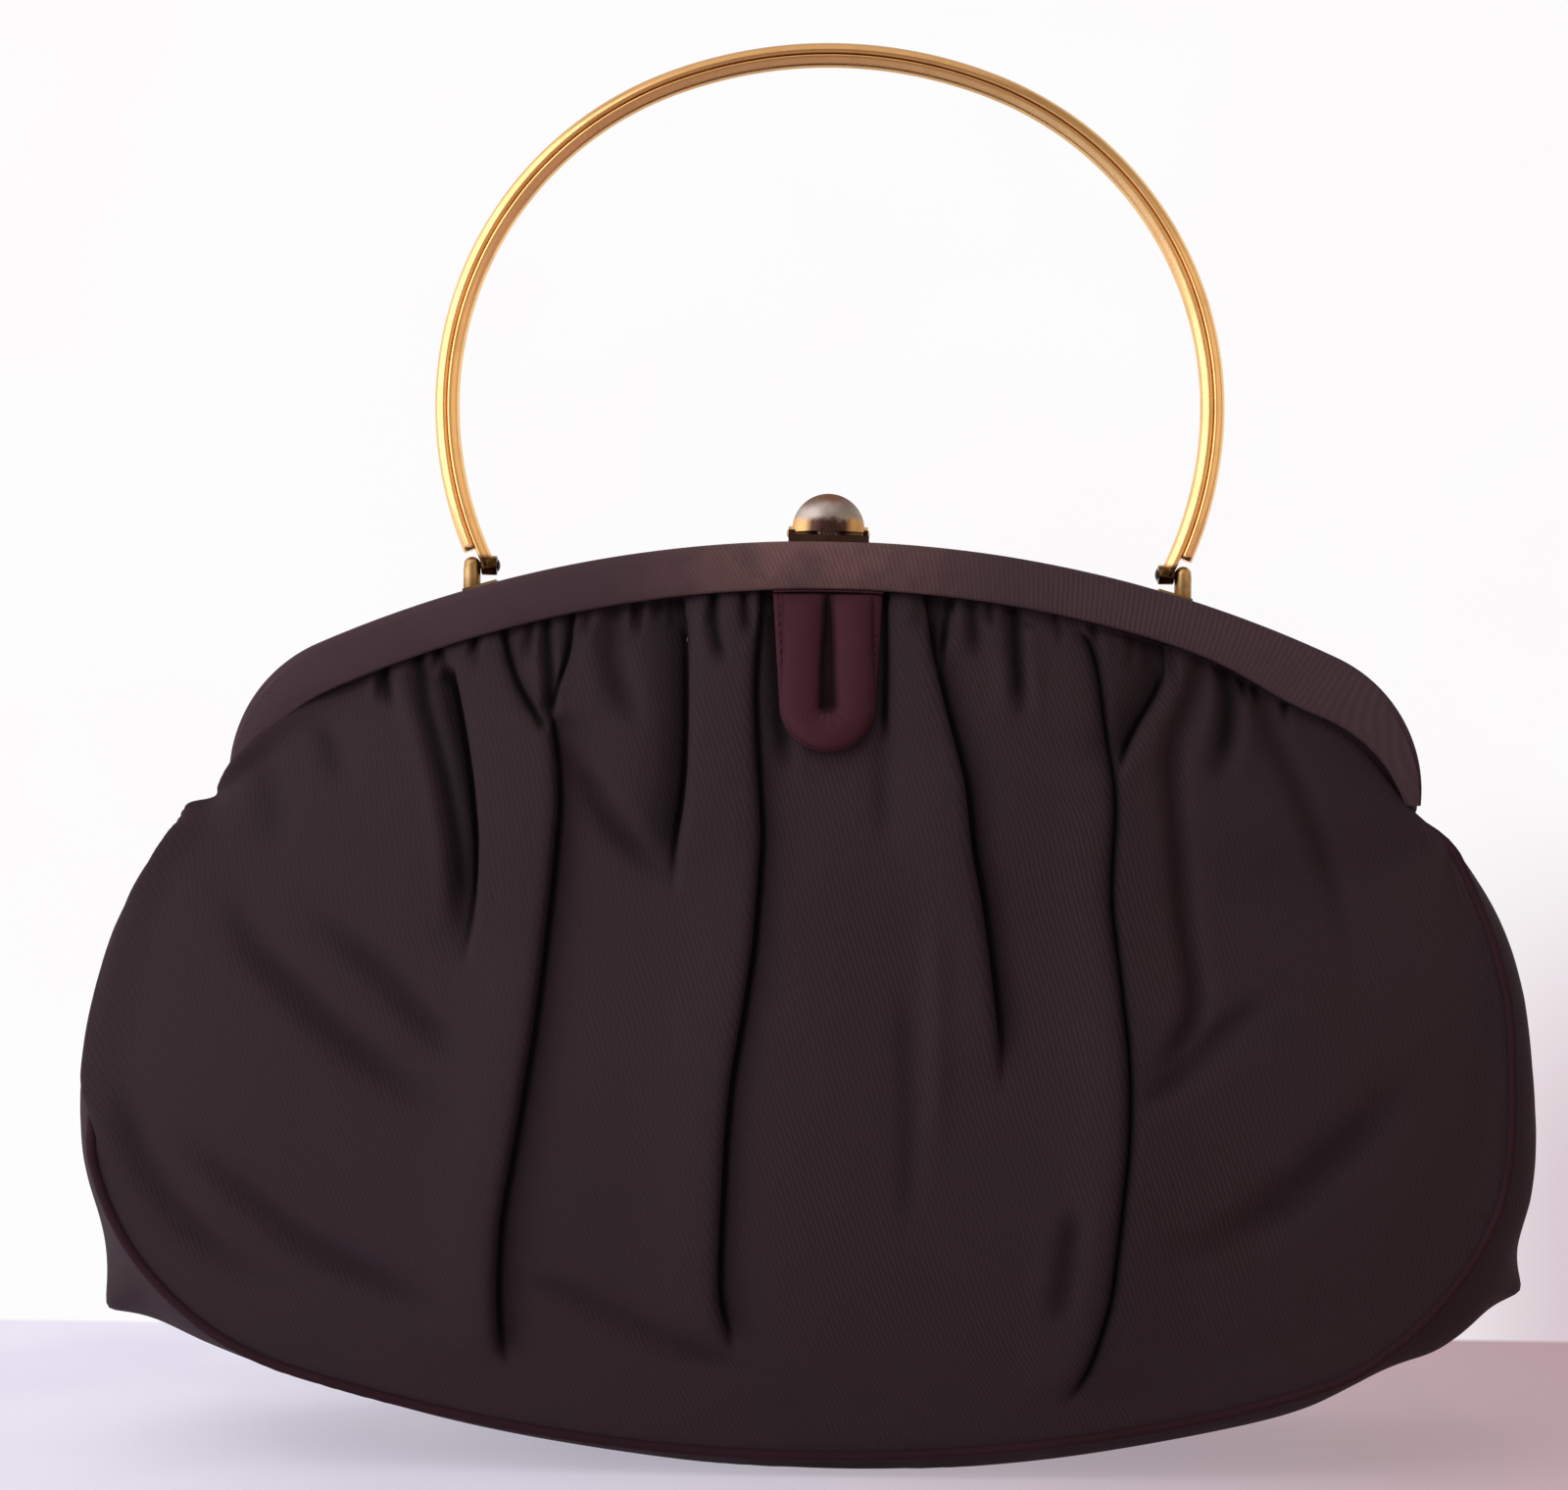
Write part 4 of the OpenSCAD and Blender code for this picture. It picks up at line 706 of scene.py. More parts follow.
class Finish:
    """A material under construction: its nodes and its surface shader."""

    def __init__(self, name):
        self.material = bpy.data.materials.new(name)
        self.material.use_nodes = True
        self.tree = self.material.node_tree
        self.tree.nodes.clear()
        self.out = self.tree.nodes.new("ShaderNodeOutputMaterial")
        self.shader = self.tree.nodes.new("ShaderNodeBsdfPrincipled")
        self.tree.links.new(self.shader.outputs["BSDF"], self.out.inputs["Surface"])

    def node(self, kind, values=None, **settings):
        """A new node. A value that is a socket is linked, any other is set."""
        made = self.tree.nodes.new(kind)
        for key, value in settings.items():
            setattr(made, key, value)
        self.fill(made, values or {})
        return made

    def fill(self, made, values):
        """Links or sets a node's inputs."""
        for key, value in values.items():
            socket = made.inputs[key]
            if isinstance(value, bpy.types.NodeSocket):
                self.tree.links.new(value, socket)
            else:
                socket.default_value = value

    def surface(self, **values):
        """Links or sets the inputs of the surface shader."""
        self.fill(self.shader, {key.replace("_", " "): value for key, value in values.items()})

    def place(self, source, turn=0.0, scale=(1, 1, 1)):
        """The piece's own place, from its flat map or from Object coordinates in millimetres."""
        if source == "cloth":
            start = self.node("ShaderNodeUVMap", uv_map=UV_NAME).outputs["UV"]
        else:
            start = self.node("ShaderNodeTexCoord").outputs["Object"]
            scale = tuple(s / MM for s in scale)
        return self.node(
            "ShaderNodeMapping", {"Vector": start, "Rotation": (0, 0, turn), "Scale": scale}
        ).outputs["Vector"]

    def noise(self, place, size, detail=3.0, rough=0.55, distortion=0.0):
        """Clouds of a size in the units of the place."""
        values = {"Vector": place, "Scale": 1 / size, "Detail": detail, "Roughness": rough}
        return self.node("ShaderNodeTexNoise", {**values, "Distortion": distortion}).outputs["Fac"]

    def bands(self, place, pitch, distortion=0.0, detail_size=1.0, direction="X"):
        """Ribs with a pitch in the units of the place."""
        return self.node(
            "ShaderNodeTexWave",
            {
                "Vector": place,
                "Scale": math.pi / 10 / pitch,
                "Distortion": distortion,
                "Detail": 2.0,
                "Detail Scale": detail_size,
            },
            wave_type="BANDS",
            bands_direction=direction,
        ).outputs["Fac"]

    def maths(self, operation, a, b=0.0):
        """The result of a calculation with one or two values."""
        return self.node("ShaderNodeMath", {0: a, 1: b}, operation=operation).outputs[0]

    def spread(self, value, low, high, to_low=0.0, to_high=1.0):
        """A value brought smoothly from one range to another."""
        return self.node(
            "ShaderNodeMapRange",
            {"Value": value, "From Min": low, "From Max": high, "To Min": to_low, "To Max": to_high},
            interpolation_type="SMOOTHSTEP",
        ).outputs["Result"]

    def mix(self, share, first, second, blend="MIX"):
        """A mixture of two colours."""
        tones = [tone if isinstance(tone, bpy.types.NodeSocket) else (*tone, 1.0) for tone in (first, second)]
        values = {0: share, 6: tones[0], 7: tones[1]}
        return self.node("ShaderNodeMix", values, data_type="RGBA", blend_type=blend).outputs[2]

    def bump(self, height, distance, strength=1.0, under=None):
        """A normal for a relief, on top of another if there is one."""
        values = {"Height": height, "Distance": distance, "Strength": strength}
        if under is not None:
            values["Normal"] = under
        return self.node("ShaderNodeBump", values).outputs["Normal"]


def tint(value, factor):
    """A colour made lighter or darker by a factor."""
    return tuple(min(1.0, v * factor) for v in value)


# Painted shade between the cloth's ribs and painted highlight on them, and the tone of its nap
RIB_SHADE_AND_HIGHLIGHT = (0.8, 0.78, 0.8), (1.18, 1.17, 1.16)
NAP_TONE = (0.6, 0.42, 0.46, 1.0)


def twill(name, base, warm, pitch, lean=-0.33, worn=None, source="cloth", rough=0.78, relief=0.1, ribbed=1.0):
    """Ribbed twill: slanting ribs, crossing threads, faded and warm patches, fuzz, painted shade between the
    ribs and painted highlight on them, and painted shade in the folds.
    """
    m = Finish(name)
    place = m.place(source)
    slant = m.place(source, turn=lean)
    ribs = m.bands(slant, pitch, 0.7, 0.35)
    threads = m.bands(slant, pitch * 0.62, 0.9, 0.5, "Y")
    fuzz = m.noise(place, pitch * 0.55, 2.0, 0.7)
    patches = m.noise(place, 34, 3.0, 0.5)
    clouds = m.noise(place, 9, 3.0, 0.6)
    ground = m.mix(m.spread(patches, 0.35, 0.68), base, warm)
    ground = m.mix(m.spread(clouds, 0.3, 0.75, 0, 0.3), ground, tint(base, 1.25))
    across = m.node("ShaderNodeSeparateXYZ", {"Vector": m.place("object")}).outputs["X"]
    if worn is not None:
        colour_worn, half_w = worn
        off_middle = m.maths("ABSOLUTE", m.maths("ADD", across, 4))
        patchy = m.spread(clouds, 0.25, 0.7, 0.35, 1.0)
        rubbed = m.maths("MULTIPLY", m.spread(off_middle, 2, half_w, 0.9, 0.0), patchy)
        ground = m.mix(rubbed, ground, colour_worn)
    weave = m.maths("ADD", m.maths("MULTIPLY", ribs, 0.75), m.maths("MULTIPLY", threads, 0.25))
    # The painted rib shade and highlight show more in patches and right of the middle, less towards both sides
    contrast = m.spread(patches, 0.3, 0.7, 0.35 * ribbed, ribbed)
    contrast = m.maths("MULTIPLY", contrast, m.spread(across, -70, 20, 0.3, 1.0))
    contrast = m.maths("MULTIPLY", contrast, m.spread(across, 105, 60, 0.45, 1.0))
    shaded = m.mix(m.spread(weave, 0.1, 0.9), *RIB_SHADE_AND_HIGHLIGHT)
    cloth = m.mix(1.0, ground, m.mix(contrast, (1.0, 1.0, 1.0), shaded), "MULTIPLY")
    cloth = m.mix(m.spread(fuzz, 0.72, 0.84, 0, 0.16), cloth, tint(base, 2.6))
    # Painted shade: the cloth turns nearly black in its folds and creases and along the band's edge
    hollow = m.node("ShaderNodeAttribute", attribute_name="hollow").outputs["Fac"]
    cloth = m.mix(m.maths("MULTIPLY", hollow, 0.88), cloth, tint(base, 0.1))
    coarse = m.bump(clouds, 0.5 * MM, 0.25)
    fine = m.bump(weave, relief * MM, 0.5 * ribbed, coarse)
    normal = m.bump(fuzz, 0.07 * MM, 0.4, fine)
    m.surface(
        Base_Color=cloth,
        Roughness=m.spread(clouds, 0.2, 0.8, rough - 0.05, rough + 0.08),
        Specular_IOR_Level=0.08,
        Sheen_Weight=0.03,
        Sheen_Roughness=0.4,
        Sheen_Tint=NAP_TONE,
        Normal=normal,
    )
    return m.material


def satin(name, base):
    """Smooth lining satin: fine lengthwise threads and soft clouds of shade."""
    m = Finish(name)
    place = m.place("cloth")
    threads = m.bands(place, 0.35, 0.4, 0.4)
    clouds = m.noise(place, 12, 3.0, 0.55)
    ground = m.mix(m.spread(clouds, 0.3, 0.7), tint(base, 0.8), tint(base, 1.25))
    cloth = m.mix(m.maths("MULTIPLY", threads, 0.18), ground, tint(base, 1.7))
    m.surface(
        Base_Color=cloth,
        Roughness=m.spread(clouds, 0.2, 0.8, 0.36, 0.5),
        Specular_IOR_Level=0.4,
        Sheen_Weight=0.3,
        Sheen_Roughness=0.35,
        Anisotropic=0.4,
        Normal=m.bump(threads, 0.05 * MM, 0.7, m.bump(clouds, 0.6 * MM, 0.3)),
    )
    return m.material


def brass(name, bright, dull, share, rough, relief=0.02, shades=()):
    """Polished brass: tarnish in patches, fine scratches and rubbed highlights.
    Each painted shade is a height where it covers all, one where it ends, and its colour."""
    m = Finish(name)
    place = m.place("object")
    long_way = m.place("object", scale=(1, 1, 0.12))
    tarnish = m.noise(place, 7, 5.0, 0.6, 0.4)
    grain = m.noise(long_way, 0.35, 3.0, 0.65)
    spots = m.noise(place, 1.1, 3.0, 0.7)
    ground = m.mix(m.spread(tarnish, 0.42, 0.72, 0.0, share), bright, dull)
    ground = m.mix(m.spread(spots, 0.66, 0.8, 0.0, share), ground, tint(dull, 0.5))
    up = m.node("ShaderNodeSeparateXYZ", {"Vector": place}).outputs["Z"]
    for covered, clear, tone in shades:
        ground = m.mix(m.spread(up, covered, clear, 1.0, 0.0), ground, tone)
    uneven = m.maths("ADD", m.maths("MULTIPLY", tarnish, 0.7), m.maths("MULTIPLY", grain, 0.3))
    m.surface(
        Base_Color=ground,
        Metallic=1.0,
        Roughness=m.spread(uneven, 0.3, 0.8, rough, rough + 0.2),
        Normal=m.bump(grain, relief * MM, 0.35),
    )
    return m.material


def dome_with_painted_reflections(name, base, gold, box, dark_z):
    """The clasp's dome: rubbed pale in the middle, with painted reflections, brown at its top and low middle
    and gold at its low corners, and with painted shade, nearly black on the plate below the dark height."""
    m = Finish(name)
    low, high = box
    place = m.place("object")
    parts = m.node("ShaderNodeSeparateXYZ", {"Vector": place}).outputs
    up, out = parts["Z"], m.maths("ABSOLUTE", parts["X"])
    clouds = m.noise(place, 3.0, 4.0, 0.6, 0.3)
    scratches = m.noise(m.place("object", turn=0.5, scale=(1, 1, 0.15)), 0.3, 3.0, 0.6)
    wobble = m.maths("ADD", up, m.spread(clouds, 0.2, 0.8, -0.6, 0.6))
    top, tall = float(high[2]), float(high[2] - low[2])
    # Painted reflections: brown over the top and low middle, gold at the low corners; painted shadow on the
    # plate
    brown, low_brown, plate_dark = (0.17, 0.075, 0.045), (0.07, 0.035, 0.030), (0.035, 0.014, 0.010)
    ground = m.mix(m.spread(wobble, top - 0.4 * tall, top - 0.05 * tall), base, brown)
    corner = m.mix(m.spread(out, 3.0, 5.0), low_brown, tint(gold, 0.6))
    ground = m.mix(m.spread(wobble, top - 0.5 * tall, top - 0.66 * tall), ground, corner)
    on_plate = m.maths("SUBTRACT", up, m.spread(out, 6.5, 6.9, 0, 2))
    ground = m.mix(m.spread(on_plate, dark_z + 0.2, dark_z - 0.2), ground, plate_dark)
    ground = m.mix(m.spread(scratches, 0.55, 0.8, 0, 0.35), ground, tint(base, 0.6))
    m.surface(
        Base_Color=ground,
        Metallic=1.0,
        Roughness=m.spread(clouds, 0.2, 0.8, 0.28, 0.42),
        Normal=m.bump(scratches, 0.02 * MM, 0.3),
    )
    return m.material


def steel(name, base, rough):
    """Rolled steel strip: drawn grain and faint grey stains."""
    m = Finish(name)
    place = m.place("object")
    drawn = m.noise(m.place("object", scale=(0.1, 1, 1)), 0.4, 3.0, 0.6)
    stains = m.noise(place, 9, 4.0, 0.6)
    ground = m.mix(m.spread(stains, 0.35, 0.75), tint(base, 1.1), tint(base, 0.6))
    m.surface(
        Base_Color=ground,
        Metallic=1.0,
        Roughness=m.spread(stains, 0.2, 0.8, rough, rough + 0.18),
        Normal=m.bump(drawn, 0.03 * MM, 0.4),
    )
    return m.material


def twisted(name, base, pitch):
    """Twisted cord: slanting strands and fibres."""
    m = Finish(name)
    strands = m.bands(m.place("object", turn=0.7), pitch, 0.5, 0.6)
    fibres = m.noise(m.place("object"), 0.4, 3.0, 0.7)
    ground = m.mix(m.spread(strands, 0.1, 0.9), tint(base, 0.6), tint(base, 1.2))
    ground = m.mix(m.maths("MULTIPLY", fibres, 0.3), ground, tint(base, 1.6))
    m.surface(
        Base_Color=ground,
        Roughness=m.spread(fibres, 0.2, 0.8, 0.75, 0.9),
        Normal=m.bump(strands, 0.12 * MM, 0.8),
    )
    return m.material


def fibre_board(name, base):
    """Pressed fibre board: felted fibres and darker flecks."""
    m = Finish(name)
    place = m.place("object")
    fibres = m.noise(place, 0.9, 5.0, 0.7, 0.6)
    flecks = m.noise(place, 0.5, 2.0, 0.5)
    ground = m.mix(m.spread(fibres, 0.3, 0.7), tint(base, 0.8), tint(base, 1.2))
    ground = m.mix(m.spread(flecks, 0.66, 0.74), ground, tint(base, 0.4))
    m.surface(
        Base_Color=ground,
        Roughness=m.spread(fibres, 0.2, 0.8, 0.8, 0.92),
        Normal=m.bump(fibres, 0.08 * MM, 0.6),
    )
    return m.material


def wear(obj, material):
    """Gives an object this material alone."""
    obj.data.materials.clear()
    obj.data.materials.append(material)


def own_material(name, make, *values, **settings):
    """The material of this name, made when it is first asked for."""
    return bpy.data.materials.get(name) or make(name, *values, **settings)


def own_twill(name, tone, warmer, pitch_share=1.0, lean=-0.33, **settings):
    """A twill in one of the bag's colours, with its warmer patches tinted from it."""
    scene = bpy.context.scene
    pitch = scene.bag_cloth.rib_pitch / MM * pitch_share
    base = tuple(getattr(scene.bag_colours, tone))
    warm = tuple(scene.bag_colours.body_red) if warmer is None else tint(base, warmer)
    return own_material(name, twill, base, warm, pitch, lean, **settings)


def body_twill():
    """The cloth of the body."""
    return own_twill("body_twill", "body", None)


def trim_twill():
    """The cloth of the pull tab, finer and less ribbed."""
    return own_twill("trim_twill", "trim", 1.25, 0.8, -0.5, rough=0.7, ribbed=0.5)


def piping_twill():
    """The cloth of the piping, cut on the slant."""
    return own_twill("piping_twill", "piping", 1.2, 1.0, 0.8, rough=0.74, ribbed=0.5)


def lining_satin():
    """The satin of the lining and the pocket."""
    return own_material("lining_satin", satin, tuple(bpy.context.scene.bag_colours.lining))


def hem_rows(shape, side, columns, last, depth):
    """The hem that runs on up into the frame's channel."""
    share = np.linspace(-1, 1, columns + 1)
    low_x, low_z = last[:, 0], last[:, 2]
    by_share = np.interp(low_x, shape.band_line(CLOTH_TOP, share)[0], share)
    top_x, top_z = shape.band_line(HEM_TOP, by_share)
    y = np.full_like(low_x, side * depth)
    halfway_and_top = [(low_x + (top_x - low_x) * k, y, low_z + (top_z - low_z) * k) for k in (0.5, 1.0)]
    return np.stack([np.stack(row, -1) for row in halfway_and_top])


def panel_cloth(shape, name, side, folds, seed, fineness):
    """The gathered cloth of the front (side -1) or the back (side 1), with its hem."""
    c = shape.c
    columns, rows = int(c.columns * fineness), int(c.rows * fineness)
    points, flat, hollow = panel_points(shape, side, folds, seed, columns, rows)
    hem = hem_rows(shape, side, columns, points[-1], c.hem_d)
    flat_map = np.concatenate([flat, front_view(hem)])
    obj = grid_piece(name, np.concatenate([points, hem]), flat_map, flip=side > 0)
    # The hem rows under the band get full painted shade, a painted shadow along the band's edge
    shade(obj, np.concatenate([hollow, np.ones((2, columns + 1))]))
    wear(obj, body_twill())
    return obj


class BAG_OT_front_cloth(Operator):
    """Make the gathered front cloth, from the seam to the front half of the frame"""

    bl_idname = "bag.front_cloth"
    bl_label = "Front cloth"

    def execute(self, context):
        folds = FRONT_FOLDS + small_gathers(FRONT_GATHERS, seed=11)
        obj = panel_cloth(Shape(context.scene), "front_cloth", -1, folds, seed=3, fineness=1)
        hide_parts("front_panel", "front_gathers")
        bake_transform(obj)
        return {"FINISHED"}


class BAG_OT_back_cloth(Operator):
    """Make the gathered back cloth"""

    bl_idname = "bag.back_cloth"
    bl_label = "Back cloth"

    def execute(self, context):
        folds = BACK_FOLDS + small_gathers(BACK_GATHERS, seed=23)
        obj = panel_cloth(Shape(context.scene), "back_cloth", 1, folds, seed=5, fineness=0.9)
        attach(obj, "bag")
        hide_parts("back_panel")
        return {"FINISHED"}


def gusset_points(shape, inset, gap, columns, rows, wrinkles):
    """The gusset from one hinge round the bottom to the other, with its ends drawn up to the hinges."""
    c = shape.c
    share = np.linspace(-1, 1, columns + 1)
    extra = np.linspace(1, 1.06, 7)[1:]
    share = np.concatenate([-extra[::-1], share, extra])
    v = np.linspace(-1, 1, rows + 1)
    s, v = np.meshgrid(share, v)
    inner = np.clip(s, -1, 1)
    over = np.clip((np.abs(s) - 1) / 0.06, 0, 1)
    ax, az = shape.seam(inset, inner)
    bx, bz = shape.gusset_middle(inset, inner)
    # On its left and front the gusset hangs slack, elsewhere it is fuller
    k = 1 - np.abs(v) ** np.where(v < 0, 2 + 2 * smoothstep(-60, 30, ax), 4)
    x, z = ax + (bx - ax) * k, az + (bz - az) * k
    depth = shape.seam_depth(shape.seam(0, inner)[1]) - gap
    end_x, end_z, end_d = shape.f.half_w - 1.5 - inset * 0.2, shape.hinge_z - 2.3, 4.6
    x = x + (np.sign(s) * end_x - x) * smoothstep(0, 1, over)
    z = z + (end_z + 0.6 * np.abs(v) - z) * over
    depth = depth + (end_d - depth) * over
    if wrinkles:
        low = smoothstep(70, 20, z)
        fold = ripple(s * 260, v * 20, seed=8, size=46, strength=1.0) * k * (0.5 + 0.5 * low)
        crease = -1.2 * hump(v, 0, 0.16) * smoothstep(18, 60, z) * smoothstep(120, 96, z)
        nx, nz = bx - ax, bz - az
        long = np.hypot(nx, nz) + 1e-6
        x, z = x + nx / long * (fold + crease), z + nz / long * (fold + crease) * smoothstep(6, 20, z)
        corner_x = shape.gusset_w - c.gusset_corner_r
        corner_z = c.low_r - c.gusset_sag - math.sqrt((c.low_r - c.gusset_corner_r) ** 2 - corner_x**2)
        # The lower corners stick out as ears, in the direction of the lean
        for side, ear, lean in ((-1, c.ear_left, -0.69), (1, c.ear_right, -0.50)):
            turn = np.arctan2(z - corner_z, side * x - corner_x)
            off = np.hypot(turn - lean, 0.05) - 0.05
            bump = ear * np.exp(-off / 0.17) * hump(v, -0.1, 0.42) * (side * x > corner_x - 20)
            x, z = x + side * bump * math.cos(lean), z + bump * math.sin(lean)
        z = z + 2.6 * k * hump(x, 108, 12) * smoothstep(40, 25, z)
        x = x - np.sign(x) * 2.3 * k * hump(z, 42, 11) * smoothstep(90, 110, np.abs(x))
    z = np.maximum(z, inset)
    tucked = shape.tuck(ax, az, 1.0) * np.clip(-v, 0, 1) ** 2 * (1 - over)
    x, depth = x + TUCK_IN * tucked, depth - TUCK_BACK * tucked
    y = v * depth
    way = np.cumsum(np.hypot(np.gradient(ax[0]), np.gradient(az[0])))
    uv = np.stack([y + 0 * z, np.repeat(way[None], len(y), 0)], -1)
    return np.stack([x + shape.drift(x, z, (1 - v) / 2), y, z], -1), uv


class BAG_OT_gusset_cloth(Operator):
    """Make the gusset that runs round the bottom and up both sides"""

    bl_idname = "bag.gusset_cloth"
    bl_label = "Gusset"

    def execute(self, context):
        points, uv = gusset_points(Shape(context.scene), 0, 0.3, *GUSSET_GRID, True)
        obj = grid_piece("gusset_cloth", points, uv, flip=True)
        wear(obj, body_twill())
        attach(obj, "bag")
        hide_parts("gusset")
        return {"FINISHED"}


class BAG_OT_piping(Operator):
    """Make the two runs of covered piping along the seams"""

    bl_idname = "bag.piping"
    bl_label = "Piping"

    def execute(self, context):
        shape = Shape(context.scene)
        x, z = shape.seam(0, np.linspace(-1, 1, SEAM_STEPS))
        seam = np.stack([x, z, shape.seam_depth(z)], -1)
        # Each end runs on over two places at the hinge: sideways, up and depth
        half_w, hinge_z = shape.f.half_w, shape.hinge_z
        hinge = np.array([[half_w - 1.2, hinge_z - 3.4, 5.6], [half_w + 3.0, hinge_z - 5.6, 7.4]])
        line = np.concatenate([hinge * (-1, 1, 1), seam, hinge[::-1]])
        px, pz, pd = blurred(line, 1.6).T
        step = np.arange(len(px))
        radii = shape.c.piping_r * (1 + 0.05 * np.sin(step * 1.9) * np.sin(step * 0.43))
        for name, side in (("front_piping_cord", -1), ("back_piping_cord", 1)):
            tucked = shape.tuck(px, pz, side < 0) * (pd > 8)
            path_x = px + shape.drift(px, pz, side < 0) + TUCK_IN * tucked
            path = np.stack([path_x, side * (pd - TUCK_BACK * tucked), pz], -1)
            obj = tube_piece(name, path, radii, 14)
            wear(obj, piping_twill())
            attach(obj, "bag")
            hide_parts(name.replace("_cord", ""))
        return {"FINISHED"}


class BAG_OT_frame_cloth(Operator):
    """Make the cloth pulled tight over both halves of the frame"""

    bl_idname = "bag.frame_cloth"
    bl_label = "Frame cloth"

    def execute(self, context):
        shape = Shape(context.scene)
        k = context.scene.bag_colours
        material = twill(
            "band_twill", tuple(k.band), tint(tuple(k.band), 1.12), shape.c.rib_pitch, -0.36,
            worn=(tuple(k.band_worn), 40), ribbed=0.9,
        )
        f = shape.f
        half_steps = 200
        share = np.linspace(-1, 1, 2 * half_steps + 1)
        rim_x, rim_z = shape.rim(0, share)
        low_x, low_z = shape.band_line(0, share)
        across_x, across_z = low_x - rim_x, low_z - rim_z
        width = np.hypot(across_x, across_z)
        for name, side, body in (("front_band_cloth", -1, "front_frame"), ("back_band_cloth", 1, "bag")):
            rows = []
            for inward, outward, depth, lift in band_section(f):
                # inward from the rim as a share, plus a distance in millimetres
                along = np.clip(inward + outward / width, -0.2, 1.2)
                d = depth + lift * np.minimum(1, width / 6)
                d = side * (d + ripple(rim_x, depth * 9 + rim_z, seed=4, size=26, strength=0.05))
                rows.append(np.stack([rim_x + across_x * along, d, rim_z + across_z * along], -1))
            points = np.stack(rows)
            middle = np.diff(points[:, half_steps], axis=0)
            way = np.concatenate([[0], np.cumsum(np.linalg.norm(middle, axis=1))])
            down = way[:, None] * np.minimum(1, width / f.band_h)[None]
            uv = np.stack(np.broadcast_arrays(rim_x[None], rim_z[None] - down), -1)
            obj = grid_piece(name, points, uv, flip=side < 0)
            wear(obj, material)
            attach(obj, body)
            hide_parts(name.replace("band_cloth", "frame_cover"))
        return {"FINISHED"}


def band_section(f):
    """Steps round the band's section, from the parting over the rim and the face to the
    tucked lower edge. Each is a share of the band's width, a distance inwards, a depth
    and how far it is domed."""
    r = f.edge_round
    steps = [(0, 0.05, 0.15, 0), (0, 0, 1.2, 0), (0, 0, f.half_depth * 0.45, 0)]
    for a in np.linspace(0, np.pi / 2, 7):
        steps.append((0, r * (1 - math.cos(a)), f.half_depth - r * (1 - math.sin(a)), 0))
    for s in np.linspace(0.12, 0.88, 13):
        steps.append((s, 0, f.half_depth, f.crown * math.sin(math.pi * s)))
    low_r = 0.55 * r
    for a in np.linspace(0, np.pi / 2, 6):
        steps.append((1, -low_r * (1 - math.sin(a)), f.half_depth - low_r * (1 - math.cos(a)), 0))
    steps.append((1, 0, f.half_depth - 1.25, 0))
    return steps


def tab_depth(shape, z):
    """Depth of the gathers on which the tab lies, at a height."""
    c = shape.c
    low = c.split_mid_z + 0.3
    top = float(shape.band_line(CLOTH_TOP, 0)[1])
    v = np.clip((z - low) / (top - low), 0, 1)
    return 0.4 + c.hem_d + (c.split_d - c.hem_d) * (1 - v**CURVE_IN)


# The tab's sides lean in by this much towards its round end
TAB_TAPER = 1.5
# Thickness of the tab's flange, and its height over the gathers
FLANGE_T = 0.55
FLANGE_D = 0.62
# Share of the flange's height that its round end takes
ROUND_SHARE = 0.4
# The roll: radius of its bend and half of the distance of its legs at the band,
# half of its width at both places, and how far it rises over and under its middle
TURN_R, TOP_R = 4.95, 4.35
TURN_HALF, TOP_HALF = 3.75, 4.0
ROLL_RISE, ROLL_UNDER = 2.6, 0.35


def tab_flange(shape, half_w, turn_z, top_z):
    """The flange: wider at the band, round below, its rim rolled under."""
    low_w = half_w - TAB_TAPER
    u = np.linspace(-1, 1, 43)[None]
    h = np.linspace(0, 1, 61)[:, None]
    angle = np.pi / 2 * np.clip(h / ROUND_SHARE, 0, 1)
    up = np.clip((h - ROUND_SHARE) / (1 - ROUND_SHARE), 0, 1)
    in_round = h < ROUND_SHARE
    z = np.where(in_round, turn_z - low_w * np.cos(angle), turn_z + (top_z - turn_z) * up)
    w = np.maximum(np.where(in_round, low_w * np.sin(angle), low_w + (half_w - low_w) * up), 0.4)
    x = w * u
    z = z + 0 * x
    edge = np.clip(1 - np.abs(u), 0, 1) * w
    uneven = 0.05 * np.sin(x * 0.8 + z * 0.6)
    depth = tab_depth(shape, z) + FLANGE_D - 0.4 * np.exp(-edge / 0.45) + uneven
    flange = grid_piece("tab_flange", np.stack([x, -depth, z], -1), np.stack([x, z], -1))
    # Painted shade in the slot between the roll's legs, in the middle of the flange above the turn
    shade(flange, smoothstep(2.4, 0.6, np.abs(x)) * smoothstep(turn_z - 2.5, turn_z, z))
    wear(flange, trim_twill())
    thicken(flange, FLANGE_T)
    return flange


